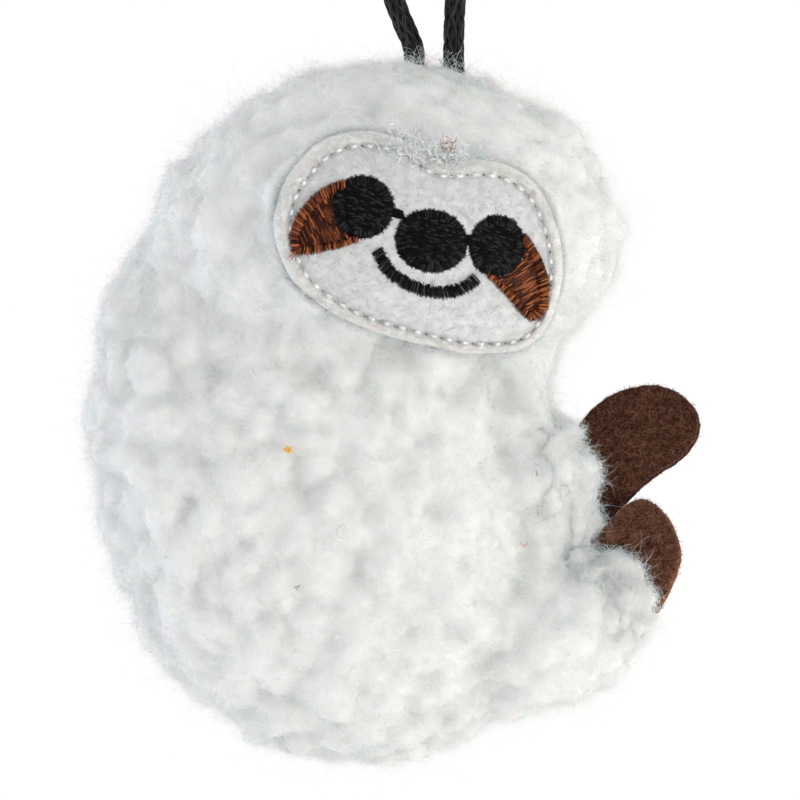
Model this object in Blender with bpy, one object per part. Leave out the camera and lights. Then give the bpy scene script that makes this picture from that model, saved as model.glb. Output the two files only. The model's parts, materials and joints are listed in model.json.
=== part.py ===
"""A plush sloth that hangs from a loop of satin cord.

Two fleece panels are sewn together in a curled side-on shape and stuffed. The front one carries a felt
face with embroidery, felt paws are sewn into the ends of the arm and the leg, and the cord's two ends are
sewn into the top of the head. The origin is the inside top of the loop, from which the toy hangs. +Z is up,
the face looks along -Y, and the paws are at +X.
"""

import math

import bmesh
import bpy
from mathutils import Matrix, Vector
from mathutils.bvhtree import BVHTree

MM = 0.001

# Sewing sizes
GAP = 0.3 * MM
FLEECE_WALL = 2.2 * MM
SEAM_THREAD = 0.5 * MM

# The hanging cord: its route from the left sewn end over the loop's top to the right one, as (x, z)
CORD_DIAMETER = 3.0 * MM
CORD_SPACING = 6.0 * MM
TAIL_LENGTH = 8.0 * MM
CORD_ROUTE = [
    (8.7 * MM, -80.0 * MM),
    (7.1 * MM, -76.0 * MM),
    (5.4 * MM, -71.5 * MM),
    (2.2 * MM, -62.5 * MM),
    (-1.9 * MM, -52.0 * MM),
    (-6.1 * MM, -41.0 * MM),
    (-9.6 * MM, -30.0 * MM),
    (-11.4 * MM, -20.0 * MM),
    (-10.6 * MM, -10.5 * MM),
    (-6.8 * MM, -2.8 * MM),
    (-0.4 * MM, 1.5 * MM),
    (7.0 * MM, 0.1 * MM),
    (12.8 * MM, -5.2 * MM),
    (16.6 * MM, -13.5 * MM),
    (18.4 * MM, -24.5 * MM),
    (18.5 * MM, -37.0 * MM),
    (17.3 * MM, -50.0 * MM),
    (15.8 * MM, -61.5 * MM),
    (14.6 * MM, -71.5 * MM),
    (14.3 * MM, -76.0 * MM),
    (14.2 * MM, -80.0 * MM),
]

# The head, placed from the middle of the cord's two sewn ends
HEAD_LEFT_OF_CORD = 6.6 * MM
HEAD_HALF_WIDTH = 33.6 * MM
HEAD_HALF_HEIGHT = 23.8 * MM
HEAD_HALF_DEPTH = 17.0 * MM
HEAD_FORWARD = 1.5 * MM

# The torso, placed from the head's centre: a round back, a flatter belly, thinner towards the neck, and
# tilted so that its bottom lies further to the right
TORSO_LEFT_OF_HEAD = 1.9 * MM
TORSO_BELOW_HEAD = 31.1 * MM
TORSO_BACK = 39.4 * MM
TORSO_BELLY = 22.4 * MM
TORSO_HALF_HEIGHT = 43.0 * MM
TORSO_HALF_DEPTH = 17.8 * MM
TORSO_SHOULDER_SHARE = 0.74
TORSO_BOTTOM_SHARE = 0.95
TORSO_THINNING_SHARE = 0.7
TORSO_TILT = math.radians(9.5)

# The body's biggest tufts of fleece: staggered rows that wander a little, with furrows between the crests
TUFT_WIDTH = 8.8 * MM
TUFT_HEIGHT = 7.8 * MM
TUFT_WANDER = 1.8 * MM
FURROW_DEPTH = 1.5 * MM
FURROW_FADE_SHARE = 0.35

# The arm, placed from the torso's centre
ARM_RIGHT_OF_TORSO = 20.4 * MM
ARM_BELOW_TORSO = 0.8 * MM
ARM_HALF_WIDTH = 11.2 * MM
ARM_HALF_HEIGHT = 13.0 * MM
ARM_HALF_DEPTH = 11.0 * MM

# The leg, placed from the torso's centre and tilted up towards its foot
LEG_RIGHT_OF_TORSO = 24.2 * MM
LEG_BELOW_TORSO = 24.8 * MM
LEG_HALF_LENGTH = 15.3 * MM
LEG_HALF_HEIGHT = 11.0 * MM
LEG_HALF_DEPTH = 12.0 * MM
LEG_TILT = math.radians(25)

# The paws: two layers of felt each, hinged on the seam that holds them
PAW_FELT = 1.1 * MM
PAW_STAGGER = 1.5 * MM
UPPER_PAW_LENGTH = 15.9 * MM
UPPER_PAW_WIDTH = 13.4 * MM
UPPER_PAW_TURN = math.radians(18.4)
UPPER_PAW_SEAT_SHARES = (0.884, -0.068)
LOWER_PAW_LENGTH = 9.1 * MM
LOWER_PAW_WIDTH = 11.9 * MM
LOWER_PAW_TURN = math.radians(45.5)
LOWER_PAW_SEAT_SHARES = (0.918, 0.33)

# Each paw's outline from the top of its seam round its tip: shares of its length, then of its width
UPPER_PAW_OUTLINE_SHARES = [
    (0.24, -0.14),
    (0.44, -0.19),
    (0.65, -0.16),
    (0.85, -0.04),
    (0.96, 0.10),
    (1.0, 0.27),
    (0.95, 0.46),
    (0.84, 0.59),
    (0.70, 0.66),
    (0.50, 0.72),
    (0.35, 0.80),
    (0.19, 0.89),
]
LOWER_PAW_OUTLINE_SHARES = [
    (0.14, -0.07),
    (0.46, -0.09),
    (0.74, -0.07),
    (0.93, 0.01),
    (1.0, 0.17),
    (0.99, 0.36),
    (0.92, 0.53),
    (0.79, 0.70),
    (0.62, 0.81),
    (0.37, 0.90),
]

# The face felt, placed from the head's centre
FACE_FELT = 1.2 * MM
FACE_RIGHT_OF_HEAD = 5.3 * MM
FACE_BELOW_HEAD = 1.5 * MM
FACE_HALF_WIDTH = 20.1 * MM
FACE_HALF_HEIGHT = 14.9 * MM
FACE_OUTLINE_SHARES = [
    (-1.0, 0.15),
    (-0.98, 0.52),
    (-0.83, 0.80),
    (-0.62, 0.98),
    (-0.37, 1.01),
    (-0.13, 0.90),
    (0.08, 0.75),
    (0.33, 0.73),
    (0.60, 0.72),
    (0.85, 0.54),
    (0.96, 0.24),
    (0.97, -0.10),
    (0.93, -0.50),
    (0.80, -0.86),
    (0.52, -0.98),
    (0.15, -0.94),
    (-0.17, -0.87),
    (-0.52, -0.70),
    (-0.80, -0.48),
    (-0.95, -0.20),
]

# The stitches that sew the face on
STITCH_MARGIN = 1.9 * MM
STITCH_PITCH = 2.2 * MM
STITCH_THREAD = 0.5 * MM
STITCH_RISE = 0.15 * MM

# The embroidery, in places from the face's centre
EMBROIDERY_RISE = 0.8 * MM
NOSE_PLACE = (0.8 * MM, 0.5 * MM)
NOSE_HALF_WIDTH = 5.1 * MM
NOSE_HALF_HEIGHT = 4.3 * MM
NOSE_TURN = math.radians(-12)
LEFT_EYE_PLACE = (-8.5 * MM, 5.2 * MM)
LEFT_EYE_HALF_WIDTH = 4.2 * MM
LEFT_EYE_HALF_HEIGHT = 4.4 * MM
RIGHT_EYE_PLACE = (9.9 * MM, 0.0)
RIGHT_EYE_HALF_WIDTH = 3.9 * MM
RIGHT_EYE_HALF_HEIGHT = 4.3 * MM
LEFT_PATCH_OUTLINE = [
    (-11.2 * MM, 8.6 * MM),
    (-14.0 * MM, 7.3 * MM),
    (-16.3 * MM, 4.8 * MM),
    (-18.3 * MM, 1.7 * MM),
    (-17.8 * MM, -1.3 * MM),
    (-15.3 * MM, -1.2 * MM),
    (-12.2 * MM, -0.7 * MM),
    (-9.3 * MM, 0.3 * MM),
    (-8.4 * MM, 4.9 * MM),
]
RIGHT_PATCH_OUTLINE = [
    (13.9 * MM, 1.2 * MM),
    (15.6 * MM, -2.1 * MM),
    (17.0 * MM, -6.8 * MM),
    (16.6 * MM, -9.2 * MM),
    (15.1 * MM, -10.4 * MM),
    (13.6 * MM, -9.8 * MM),
    (12.7 * MM, -8.6 * MM),
    (10.4 * MM, -6.4 * MM),
    (8.8 * MM, -4.6 * MM),
    (10.0 * MM, -0.3 * MM),
]
SMILE_WIDTH = 1.7 * MM
SMILE_ROUTE = [
    (-6.4 * MM, -1.2 * MM),
    (-5.2 * MM, -3.3 * MM),
    (-3.1 * MM, -5.0 * MM),
    (-0.4 * MM, -6.2 * MM),
    (2.2 * MM, -6.7 * MM),
    (4.9 * MM, -6.1 * MM),
    (7.1 * MM, -4.8 * MM),
]

# How finely the round forms are divided
RIM_POINTS = 60
BIG_COLUMNS, BIG_RINGS = 28, 14
SMALL_COLUMNS, SMALL_RINGS = 18, 10
FILLING_COARSENESS_SHARE = 0.7
TUFTED_FINENESS_SHARE = 2.2
ELLIPSE_POINTS = 20
SMOOTH_EDGE = math.radians(40)

CORD_RADIUS = CORD_DIAMETER / 2
SWING_X = (CORD_ROUTE[0][0] + CORD_ROUTE[-1][0]) / 2
SWING_Z = CORD_ROUTE[0][1]
PAW_HALF_THICKNESS = PAW_FELT + GAP / 2
CHANNEL = 3 * GAP + SEAM_THREAD
DEEP = 2 * TORSO_HALF_DEPTH


def clear_scene():
    for old in list(bpy.data.objects):
        bpy.data.objects.remove(old)


def new_collection(name):
    collection = bpy.data.collections.new(name)
    bpy.context.scene.collection.children.link(collection)
    return collection


def linear(channel):
    return channel / 12.92 if channel <= 0.04045 else ((channel + 0.055) / 1.055) ** 2.4


def new_material(name, hex_colour, roughness, sheen=0.0):
    material = bpy.data.materials.new(name)
    material.use_nodes = True
    shader = material.node_tree.nodes["Principled BSDF"]
    rgb = [int(hex_colour[i : i + 2], 16) / 255 for i in (0, 2, 4)]
    shader.inputs["Base Color"].default_value = (*map(linear, rgb), 1)
    shader.inputs["Roughness"].default_value = roughness
    shader.inputs["Metallic"].default_value = 0
    shader.inputs["Sheen Weight"].default_value = sheen
    return material


clear_scene()
PARTS = new_collection("plush_sloth")
CUTTERS = new_collection("cutters")

FLEECE = new_material("white_fleece", "E6E7E4", 0.95, 0.4)
FILLING = new_material("polyester_filling", "F2F2EE", 0.95)
WHITE_THREAD = new_material("white_thread", "F0F1F2", 0.6)
FACE_WHITE = new_material("white_felt", "DCDFE0", 0.95, 0.3)
BLACK_THREAD = new_material("black_embroidery", "16161A", 0.55)
BROWN_THREAD = new_material("brown_embroidery", "7A3B1C", 0.55)
PAW_BROWN = new_material("brown_felt", "4A2C20", 0.95, 0.3)
CORD_BLACK = new_material("black_satin_cord", "1C1A1E", 0.45)


def furrow_share(point):
    """How deep between the tufts a point lies: 0 on a crest and 1 at the bottom of a furrow."""
    along = point.x + TUFT_WANDER * math.sin(point.z / TUFT_HEIGHT)
    up = point.z + TUFT_WANDER * math.sin(point.x / TUFT_WIDTH)
    stagger = TUFT_WIDTH / 2 * (math.floor(up / TUFT_HEIGHT) % 2)
    crest = math.sin(math.pi * (along + stagger) / TUFT_WIDTH) * math.sin(math.pi * up / TUFT_HEIGHT)
    return 1 - math.sqrt(abs(crest))


class Form:
    """A stuffed bulge, widest on the seam at its middle plane, that swells to its depth on both sides."""

    def __init__(self, name, centre, back, belly, height, depth, columns, rings,
                 upper_round=1.0, lower_round=1.0, thinning=0.0, tilt=0.0, forward=0.0, furrow_depth=0.0):
        self.name = name
        self.centre = Vector(centre)
        self.back = back
        self.belly = belly
        self.height = height
        self.depth = depth
        self.columns = columns
        self.rings = rings
        self.upper_round = upper_round
        self.lower_round = lower_round
        self.thinning = thinning
        self.tilt = tilt
        self.forward = forward
        self.furrow_depth = furrow_depth
        self.fineness_share = TUFTED_FINENESS_SHARE if furrow_depth else 1.0
        self.seat = None

    def along(self, right_share, up_share):
        """A place given in shares of the half sizes, tilted as the form is."""
        local = Vector((right_share * self.belly, 0, up_share * self.height))
        return self.centre + Matrix.Rotation(-self.tilt, 3, "Y") @ local

    def surface(self, across, up, front, grow):
        """Where a point of the unit sphere goes on this form when it is grown by that much."""
        reach = math.hypot(across, up)
        if reach > 0:
            roundness = self.upper_round if up > 0 else self.lower_round
            across = math.copysign(abs(across / reach) ** roundness, across) * reach
            up = math.copysign(abs(up / reach) ** roundness, up) * reach
        half_width = (self.belly if across > 0 else self.back) + grow
        thinner = 1 - self.thinning * max(up, 0) ** 1.5
        depth = self.depth + math.copysign(self.forward, front)
        local = Vector((half_width * across, -(depth * thinner + grow) * front, (self.height + grow) * up))
        return self.centre + Matrix.Rotation(-self.tilt, 3, "Y") @ local

    def tufted_surface(self, across, up, front):
        """Where that point of the sphere goes on the tufts, which flatten out towards the seam."""
        crest = self.surface(across, up, front, 0)
        fade = min(1, abs(front) / FURROW_FADE_SHARE)
        return self.surface(across, up, front, -self.furrow_depth * furrow_share(crest) * fade)

    def rim(self, grow):
        """The outline in the seam's plane, from the bottom round to the bottom again."""
        turns = [2 * math.pi * step / RIM_POINTS - math.pi / 2 for step in range(RIM_POINTS)]
        return [self.surface(math.cos(turn), math.sin(turn), 0, grow) for turn in turns]

    def reaches(self, point, grow):
        """Whether a point of the seam's plane lies inside this form when it is grown by that much."""
        local = Matrix.Rotation(self.tilt, 3, "Y") @ (point - self.centre)
        half_width = (self.belly if local.x > 0 else self.back) + grow
        power = 2 / (self.upper_round if local.z > 0 else self.lower_round)
        within = abs(local.x / half_width) ** power + abs(local.z / (self.height + grow)) ** power < 1
        if self.seat:
            seat_point, outward = self.seat
            return within and (point - seat_point).dot(outward) < grow
        return within


def bisected(mesh, point, outward):
    """Cuts off what lies outward of the plane and closes the cut."""
    geometry = mesh.verts[:] + mesh.edges[:] + mesh.faces[:]
    bmesh.ops.bisect_plane(mesh, geom=geometry, plane_co=point, plane_no=outward, clear_outer=True)
    open_edges = [edge for edge in mesh.edges if edge.is_boundary]
    if open_edges:
        bmesh.ops.holes_fill(mesh, edges=open_edges, sides=0)


def new_object(name, mesh, material=None):
    """A part when it has a material, and a cutter when it has none."""
    bmesh.ops.recalc_face_normals(mesh, faces=mesh.faces)
    if mesh.calc_volume(signed=True) < 0:
        bmesh.ops.reverse_faces(mesh, faces=mesh.faces)
    data = bpy.data.meshes.new(name)
    mesh.to_mesh(data)
    mesh.free()
    return finished(bpy.data.objects.new(name, data), material)


def finished(piece, material=None):
    if material is None:
        CUTTERS.objects.link(piece)
        piece.hide_render = True
        piece.display_type = "WIRE"
        return piece
    PARTS.objects.link(piece)
    piece.data.materials.clear()
    piece.data.materials.append(material)
    piece.data.shade_smooth()
    piece.data.set_sharp_from_angle(angle=SMOOTH_EDGE)
    return piece


def form_object(form, name, grow, material=None, side=0, fineness_share=1.0, tufted=False):
    """The form grown by that much, whole, or only its front (side -1) or back (side 1) half."""
    mesh = bmesh.new()
    columns = round(form.columns * fineness_share)
    rings = 2 * round(form.rings * fineness_share / 2)
    bmesh.ops.create_uvsphere(mesh, u_segments=columns, v_segments=rings, radius=1)
    for vert in mesh.verts:
        vert.co = form.tufted_surface(*vert.co) if tufted else form.surface(*vert.co, grow)
    if form.seat:
        point, outward = form.seat
        bisected(mesh, point + outward * grow, outward)
    if side:
        bisected(mesh, Vector((0, side * GAP / 2, 0)), Vector((0, -side, 0)))
    return new_object(name, mesh, material)


def boolean(piece, cutter, operation="DIFFERENCE"):
    modifier = piece.modifiers.new(cutter.name, "BOOLEAN")
    modifier.operation = operation
    modifier.solver = "EXACT"
    modifier.object = cutter


def mesh_from_curve(curve_object, name, material=None):
    """The closed mesh of a curve, which takes the curve's place."""
    PARTS.objects.link(curve_object)
    bpy.context.view_layer.update()
    graph = bpy.context.evaluated_depsgraph_get()
    data = bpy.data.meshes.new_from_object(curve_object.evaluated_get(graph))
    place = curve_object.matrix_world.copy()
    bpy.data.objects.remove(curve_object)
    mesh = bmesh.new()
    mesh.from_mesh(data)
    bpy.data.meshes.remove(data)
    bmesh.ops.remove_doubles(mesh, verts=mesh.verts, dist=GAP / 100)
    mesh.transform(place)
    return new_object(name, mesh, material)


def tube(name, points, diameter, material=None, cyclic=False, radii=None, sides_step=2):
    data = bpy.data.curves.new(name, "CURVE")
    data.dimensions = "3D"
    data.bevel_depth = diameter / 2
    data.bevel_resolution = sides_step
    data.use_fill_caps = not cyclic
    spline = data.splines.new("POLY")
    spline.points.add(len(points) - 1)
    spline.use_cyclic_u = cyclic
    for index, point in enumerate(points):
        spline.points[index].co = (*point, 1)
        spline.points[index].radius = radii[index] if radii else 1
    return mesh_from_curve(bpy.data.objects.new(name, data), name, material)


def prism(name, outline, place, half_thickness, material=None):
    """A flat outline in the place's own XY plane, that thick both ways along its Z."""
    data = bpy.data.curves.new(name, "CURVE")
    data.dimensions = "2D"
    data.fill_mode = "BOTH"
    data.extrude = half_thickness
    spline = data.splines.new("POLY")
    spline.points.add(len(outline) - 1)
    spline.use_cyclic_u = True
    for index, (x, y) in enumerate(outline):
        spline.points[index].co = (x, y, 0, 1)
    curve_object = bpy.data.objects.new(name, data)
    curve_object.matrix_world = place
    return mesh_from_curve(curve_object, name, material)


def facing_front(point, turn=0.0):
    """A place whose Z faces the viewer and whose X is to the right, turned anticlockwise as seen by them."""
    return (
        Matrix.Translation(point)
        @ Matrix.Rotation(-turn, 4, "Y")
        @ Matrix.Rotation(math.pi / 2, 4, "X")
    )


def smooth_between(before, start, end, after, share):
    """A point of the smooth curve between start and end that takes its slopes from their neighbours."""
    out = (end - before) / 2
    into = (after - start) / 2
    square, cube = share**2, share**3
    return (
        start * (2 * cube - 3 * square + 1)
        + out * (cube - 2 * square + share)
        + end * (3 * square - 2 * cube)
        + into * (cube - square)
    )


def smooth_line(points, steps, cyclic=False):
    """That many points for each stretch of the smooth curve through these points."""
    count = len(points)
    line = []
    for index in range(count if cyclic else count - 1):
        if cyclic:
            near = [points[(index + k) % count] for k in (-1, 0, 1, 2)]
        else:
            near = [points[min(max(index + k, 0), count - 1)] for k in (-1, 0, 1, 2)]
        line += [smooth_between(*near, step / steps) for step in range(steps)]
    return line if cyclic else [*line, points[-1]]


def evenly_spaced(points, spacing):
    """Points along a line of points, at the nearest spacing that divides its length."""
    lengths = [0.0]
    for start, end in zip(points, points[1:]):
        lengths.append(lengths[-1] + (end - start).length)
    count = max(1, round(lengths[-1] / spacing))
    spaced = []
    index = 0
    for step in range(count + 1):
        wanted = lengths[-1] * step / count
        while index < len(points) - 2 and lengths[index + 1] < wanted:
            index += 1
        share = (wanted - lengths[index]) / (lengths[index + 1] - lengths[index])
        spaced.append(points[index].lerp(points[index + 1], share))
    return spaced


def ellipse(half_width, half_height):
    turns = [2 * math.pi * step / ELLIPSE_POINTS for step in range(ELLIPSE_POINTS)]
    return [(half_width * math.cos(turn), half_height * math.sin(turn)) for turn in turns]


def scaled(shares, x_size, y_size):
    return [(x * x_size, y * y_size) for x, y in shares]


# The stuffed forms, largest first
head_top_share = math.sqrt(1 - (HEAD_LEFT_OF_CORD / HEAD_HALF_WIDTH) ** 2)
head_centre = Vector((
    SWING_X - HEAD_LEFT_OF_CORD,
    0,
    SWING_Z - CORD_RADIUS - GAP - HEAD_HALF_HEIGHT * head_top_share,
))
torso_centre = Vector((head_centre.x - TORSO_LEFT_OF_HEAD, 0, head_centre.z - TORSO_BELOW_HEAD))
TORSO = Form("torso", torso_centre, TORSO_BACK, TORSO_BELLY, TORSO_HALF_HEIGHT, TORSO_HALF_DEPTH,
             BIG_COLUMNS, BIG_RINGS, TORSO_SHOULDER_SHARE, TORSO_BOTTOM_SHARE, TORSO_THINNING_SHARE,
             tilt=TORSO_TILT, furrow_depth=FURROW_DEPTH)
HEAD = Form("head", head_centre, HEAD_HALF_WIDTH, HEAD_HALF_WIDTH, HEAD_HALF_HEIGHT, HEAD_HALF_DEPTH,
            BIG_COLUMNS, BIG_RINGS, forward=HEAD_FORWARD)
LEG = Form("leg", torso_centre + Vector((LEG_RIGHT_OF_TORSO, 0, -LEG_BELOW_TORSO)),
           LEG_HALF_LENGTH, LEG_HALF_LENGTH, LEG_HALF_HEIGHT, LEG_HALF_DEPTH,
           SMALL_COLUMNS, SMALL_RINGS, tilt=LEG_TILT)
ARM = Form("arm", torso_centre + Vector((ARM_RIGHT_OF_TORSO, 0, -ARM_BELOW_TORSO)),
           ARM_HALF_WIDTH, ARM_HALF_WIDTH, ARM_HALF_HEIGHT, ARM_HALF_DEPTH,
           SMALL_COLUMNS, SMALL_RINGS)


class Paw:
    """A felt flap on a limb: where its hinge line is, and the flat end that its limb is trimmed to."""

    def __init__(self, name, limb, seat_shares, stagger, turn, length, width, outline_shares):
        self.name = name
        self.outward = Vector((math.cos(turn), 0, math.sin(turn)))
        self.hinge = limb.along(*seat_shares) + Vector((0, stagger, 0))
        self.place = facing_front(self.hinge, turn)
        self.length = length
        self.width = width
        self.outline_shares = outline_shares
        limb.seat = (self.hinge - self.outward * (PAW_HALF_THICKNESS + GAP), self.outward)


UPPER_PAW = Paw("upper_paw", ARM, UPPER_PAW_SEAT_SHARES, PAW_STAGGER, UPPER_PAW_TURN,
                UPPER_PAW_LENGTH, UPPER_PAW_WIDTH, UPPER_PAW_OUTLINE_SHARES)
LOWER_PAW = Paw("lower_paw", LEG, LOWER_PAW_SEAT_SHARES, -PAW_STAGGER, LOWER_PAW_TURN,
                LOWER_PAW_LENGTH, LOWER_PAW_WIDTH, LOWER_PAW_OUTLINE_SHARES)


def cord_ends():
    """The two points where the strands reach the swing line."""
    return [Vector((x, 0, z)) for x, z in (CORD_ROUTE[0], CORD_ROUTE[-1])]


def hanging_cord():
    """The free loop. Its two ends are rounded about the swing line, so that the toy can tip on them."""
    route = [Vector((x, 0, z)) for x, z in CORD_ROUTE]
    points = evenly_spaced(smooth_line(route, 12), CORD_SPACING)
    cap_turns = [math.pi / 6, math.pi / 3, math.pi * 0.45]
    left = [points[0] - Vector((0, 0, CORD_RADIUS * math.sin(turn))) for turn in reversed(cap_turns)]
    right = [points[-1] - Vector((0, 0, CORD_RADIUS * math.sin(turn))) for turn in cap_turns]
    cap_radii = [math.cos(turn) for turn in cap_turns]
    radii = [*reversed(cap_radii), *[1] * len(points), *cap_radii]
    tube("hanging_cord", [*left, *points, *right], CORD_DIAMETER, CORD_BLACK, radii=radii)


def cord_tail(name, end, grow=0.0, material=None):
    """One end of the cord inside the head seam, or the hole that it fills, which opens the seam above it."""
    top = end.z if grow else end.z - CORD_RADIUS - GAP
    bottom = end.z - CORD_RADIUS - GAP - TAIL_LENGTH - grow
    place = Matrix.Translation((end.x, 0, (top + bottom) / 2))
    mesh = bmesh.new()
    bmesh.ops.create_cone(mesh, cap_ends=True, segments=12, radius1=CORD_RADIUS + grow,
                          radius2=CORD_RADIUS + grow, depth=top - bottom, matrix=place)
    return new_object(name, mesh, material)


def stuffed_pieces(form, cutters):
    """A form's front cover, back cover and filling, each cut by the larger forms that it grows out of."""
    hollow = form_object(form, f"{form.name}_hollow", -FLEECE_WALL)
    for side, side_name in ((-1, "front"), (1, "back")):
        cover = form_object(form, f"{form.name}_{side_name}_cover", 0, FLEECE, side, form.fineness_share,
                            form.furrow_depth > 0)
        boolean(cover, hollow)
        for cutter in cutters:
            boolean(cover, cutter)
    filling = form_object(form, f"{form.name}_filling", -FLEECE_WALL - CHANNEL, FILLING,
                          fineness_share=FILLING_COARSENESS_SHARE)
    for cutter in cutters:
        boolean(filling, cutter)


def seam_thread(form, neighbours, keep_clear=()):
    """The seam thread inside a form's rim, along each stretch of that rim which is the toy's own outline."""
    room = SEAM_THREAD / 2 + GAP
    line = form.rim(-FLEECE_WALL - 2 * GAP - SEAM_THREAD / 2)

    def blocked(point):
        return (
            any(other.reaches(point, room) for other in neighbours)
            or not form.reaches(point, -FLEECE_WALL - room)
            or any((point - spot).length < distance for spot, distance in keep_clear)
        )

    first = next(index for index, point in enumerate(line) if blocked(point))
    runs = [[]]
    for point in line[first:] + line[:first]:
        if not blocked(point):
            runs[-1].append(point)
        elif runs[-1]:
            runs.append([])
    long_runs = [run for run in runs if len(run) > 4]
    for index, run in enumerate(long_runs):
        name = f"{form.name}_seam_thread" + (f"_{index + 1}" if len(long_runs) > 1 else "")
        tube(name, run, SEAM_THREAD, WHITE_THREAD, sides_step=0)


def face_plate(name, outline, place, lift, thickness, material):
    """A piece that lies on the head's curve, that high above it and that thick."""
    plate = prism(name, outline, place, DEEP / 2, material)
    for grow, operation in ((lift + thickness, "INTERSECT"), (lift, "DIFFERENCE")):
        level = f"head_level_{round(grow / MM * 100)}"
        cutter = bpy.data.objects.get(level) or form_object(HEAD, level, grow)
        boolean(plate, cutter, operation)
    return plate


def face():
    """The felt, its running stitch and the embroidery on it."""
    centre = HEAD.centre + Vector((FACE_RIGHT_OF_HEAD, 0, -FACE_BELOW_HEAD))
    middle = Vector((centre.x, -DEEP / 2, centre.z))
    corners = [Vector(corner) for corner in scaled(FACE_OUTLINE_SHARES, FACE_HALF_WIDTH, FACE_HALF_HEIGHT)]
    edge = smooth_line(corners, 2, cyclic=True)
    felt = face_plate("face_felt", [tuple(p) for p in edge], facing_front(middle), GAP, FACE_FELT, FACE_WHITE)
    fine_edge = smooth_line(corners, 8, cyclic=True)
    face_stitches(felt, middle, fine_edge)
    room = inset(smooth_line(corners, 4, cyclic=True), STITCH_MARGIN + STITCH_THREAD / 2 + GAP)
    inside_stitches = prism("inside_stitches", [tuple(p) for p in room], facing_front(middle), DEEP)

    def spot(place, turn=0.0):
        return facing_front(middle + Vector((place[0], 0, place[1])), turn)

    def embroidered(name, outline, place, thread):
        return face_plate(name, outline, place, 2 * GAP + FACE_FELT, EMBROIDERY_RISE, thread)

    def round_one(name, place, half_width, half_height, turn=0.0):
        """A round piece, and the wider cutter that keeps its neighbours off it."""
        piece = embroidered(name, ellipse(half_width, half_height), spot(place, turn), BLACK_THREAD)
        room = prism(f"{name}_room", ellipse(half_width + GAP, half_height + GAP), spot(place, turn), DEEP)
        return piece, room

    nose_room = round_one("nose", NOSE_PLACE, NOSE_HALF_WIDTH, NOSE_HALF_HEIGHT, NOSE_TURN)[1]
    for side, eye_place, half_width, half_height, patch_outline in (
        ("left", LEFT_EYE_PLACE, LEFT_EYE_HALF_WIDTH, LEFT_EYE_HALF_HEIGHT, LEFT_PATCH_OUTLINE),
        ("right", RIGHT_EYE_PLACE, RIGHT_EYE_HALF_WIDTH, RIGHT_EYE_HALF_HEIGHT, RIGHT_PATCH_OUTLINE),
    ):
        eye, eye_room = round_one(f"{side}_eye", eye_place, half_width, half_height)
        boolean(eye, nose_room)
        patch = embroidered(f"{side}_eye_patch", patch_outline, spot((0, 0)), BROWN_THREAD)
        boolean(patch, eye_room)
        boolean(patch, inside_stitches, "INTERSECT")

    smile_line = smooth_line([Vector(point) for point in SMILE_ROUTE], 2)
    embroidered("smile", band(smile_line, SMILE_WIDTH), spot((0, 0)), BLACK_THREAD)


def band(line, width):
    """The outline of a band of that width along a line of 2D points."""
    upper, lower = [], []
    for index, point in enumerate(line):
        ahead = line[min(index + 1, len(line) - 1)] - line[max(index - 1, 0)]
        aside = Vector((-ahead.y, ahead.x)).normalized() * width / 2
        upper.append(tuple(point + aside))
        lower.append(tuple(point - aside))
    return upper + lower[::-1]


def inset(edge, margin):
    """A clockwise outline drawn in by that much."""
    drawn_in = []
    for index, point in enumerate(edge):
        ahead = edge[(index + 1) % len(edge)] - edge[index - 1]
        drawn_in.append(point + Vector((ahead.y, -ahead.x)).normalized() * margin)
    return drawn_in


def face_stitches(felt, middle, edge):
    """One running thread on the felt, inside its edge, that rises at each stitch and dips between two."""
    bpy.context.view_layer.update()
    felt_surface = BVHTree.FromObject(felt, bpy.context.evaluated_depsgraph_get())
    line = inset(edge, STITCH_MARGIN)
    thread = []
    for index, spot in enumerate(evenly_spaced([*line, line[0]], STITCH_PITCH / 2)[:-1]):
        before = Vector((middle.x + spot.x, -DEEP, middle.z + spot.y))
        hit, normal, _, _ = felt_surface.ray_cast(before, Vector((0, 1, 0)))
        rise = STITCH_RISE if index % 2 else 0
        thread.append(hit + normal * (GAP + STITCH_THREAD / 2 + rise))
    tube("face_stitches", thread, STITCH_THREAD, WHITE_THREAD, cyclic=True, sides_step=0)


def paw_layers(paw):
    """Two layers of felt, rounded together about the hinge line where the limb's seam holds them."""
    tip = [(x * paw.length, (0.5 - y) * paw.width) for x, y in paw.outline_shares]
    root = [
        (-PAW_HALF_THICKNESS, -paw.width / 2),
        (-PAW_HALF_THICKNESS, paw.width / 2),
    ]
    turns = [math.pi / 2 + math.pi * step / 8 for step in range(9)]
    round_end = [(PAW_HALF_THICKNESS * math.cos(turn), PAW_HALF_THICKNESS * math.sin(turn)) for turn in turns]
    reach = 2 * paw.length
    slab_outline = [*round_end, (reach, -PAW_HALF_THICKNESS), (reach, PAW_HALF_THICKNESS)]
    seen_from_end = paw.place @ Matrix.Rotation(math.pi / 2, 4, "X")
    slab = prism(f"{paw.name}_slab", slab_outline, seen_from_end, paw.width)
    for side, side_name in ((1, "front"), (-1, "back")):
        place = paw.place @ Matrix.Translation((0, 0, side * (GAP + PAW_FELT) / 2))
        layer = prism(f"{paw.name}_{side_name}_felt", [*tip, *root], place, PAW_FELT / 2, PAW_BROWN)
        boolean(layer, slab, "INTERSECT")


def hang_on(name, point, pieces):
    """An empty on a joint's axis that carries the pieces which move with it."""
    pivot = bpy.data.objects.new(name, None)
    pivot.location = point
    PARTS.objects.link(pivot)
    bpy.context.view_layer.update()
    for piece in pieces:
        piece.parent = pivot
        piece.matrix_parent_inverse = pivot.matrix_world.inverted()
    return pivot


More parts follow.
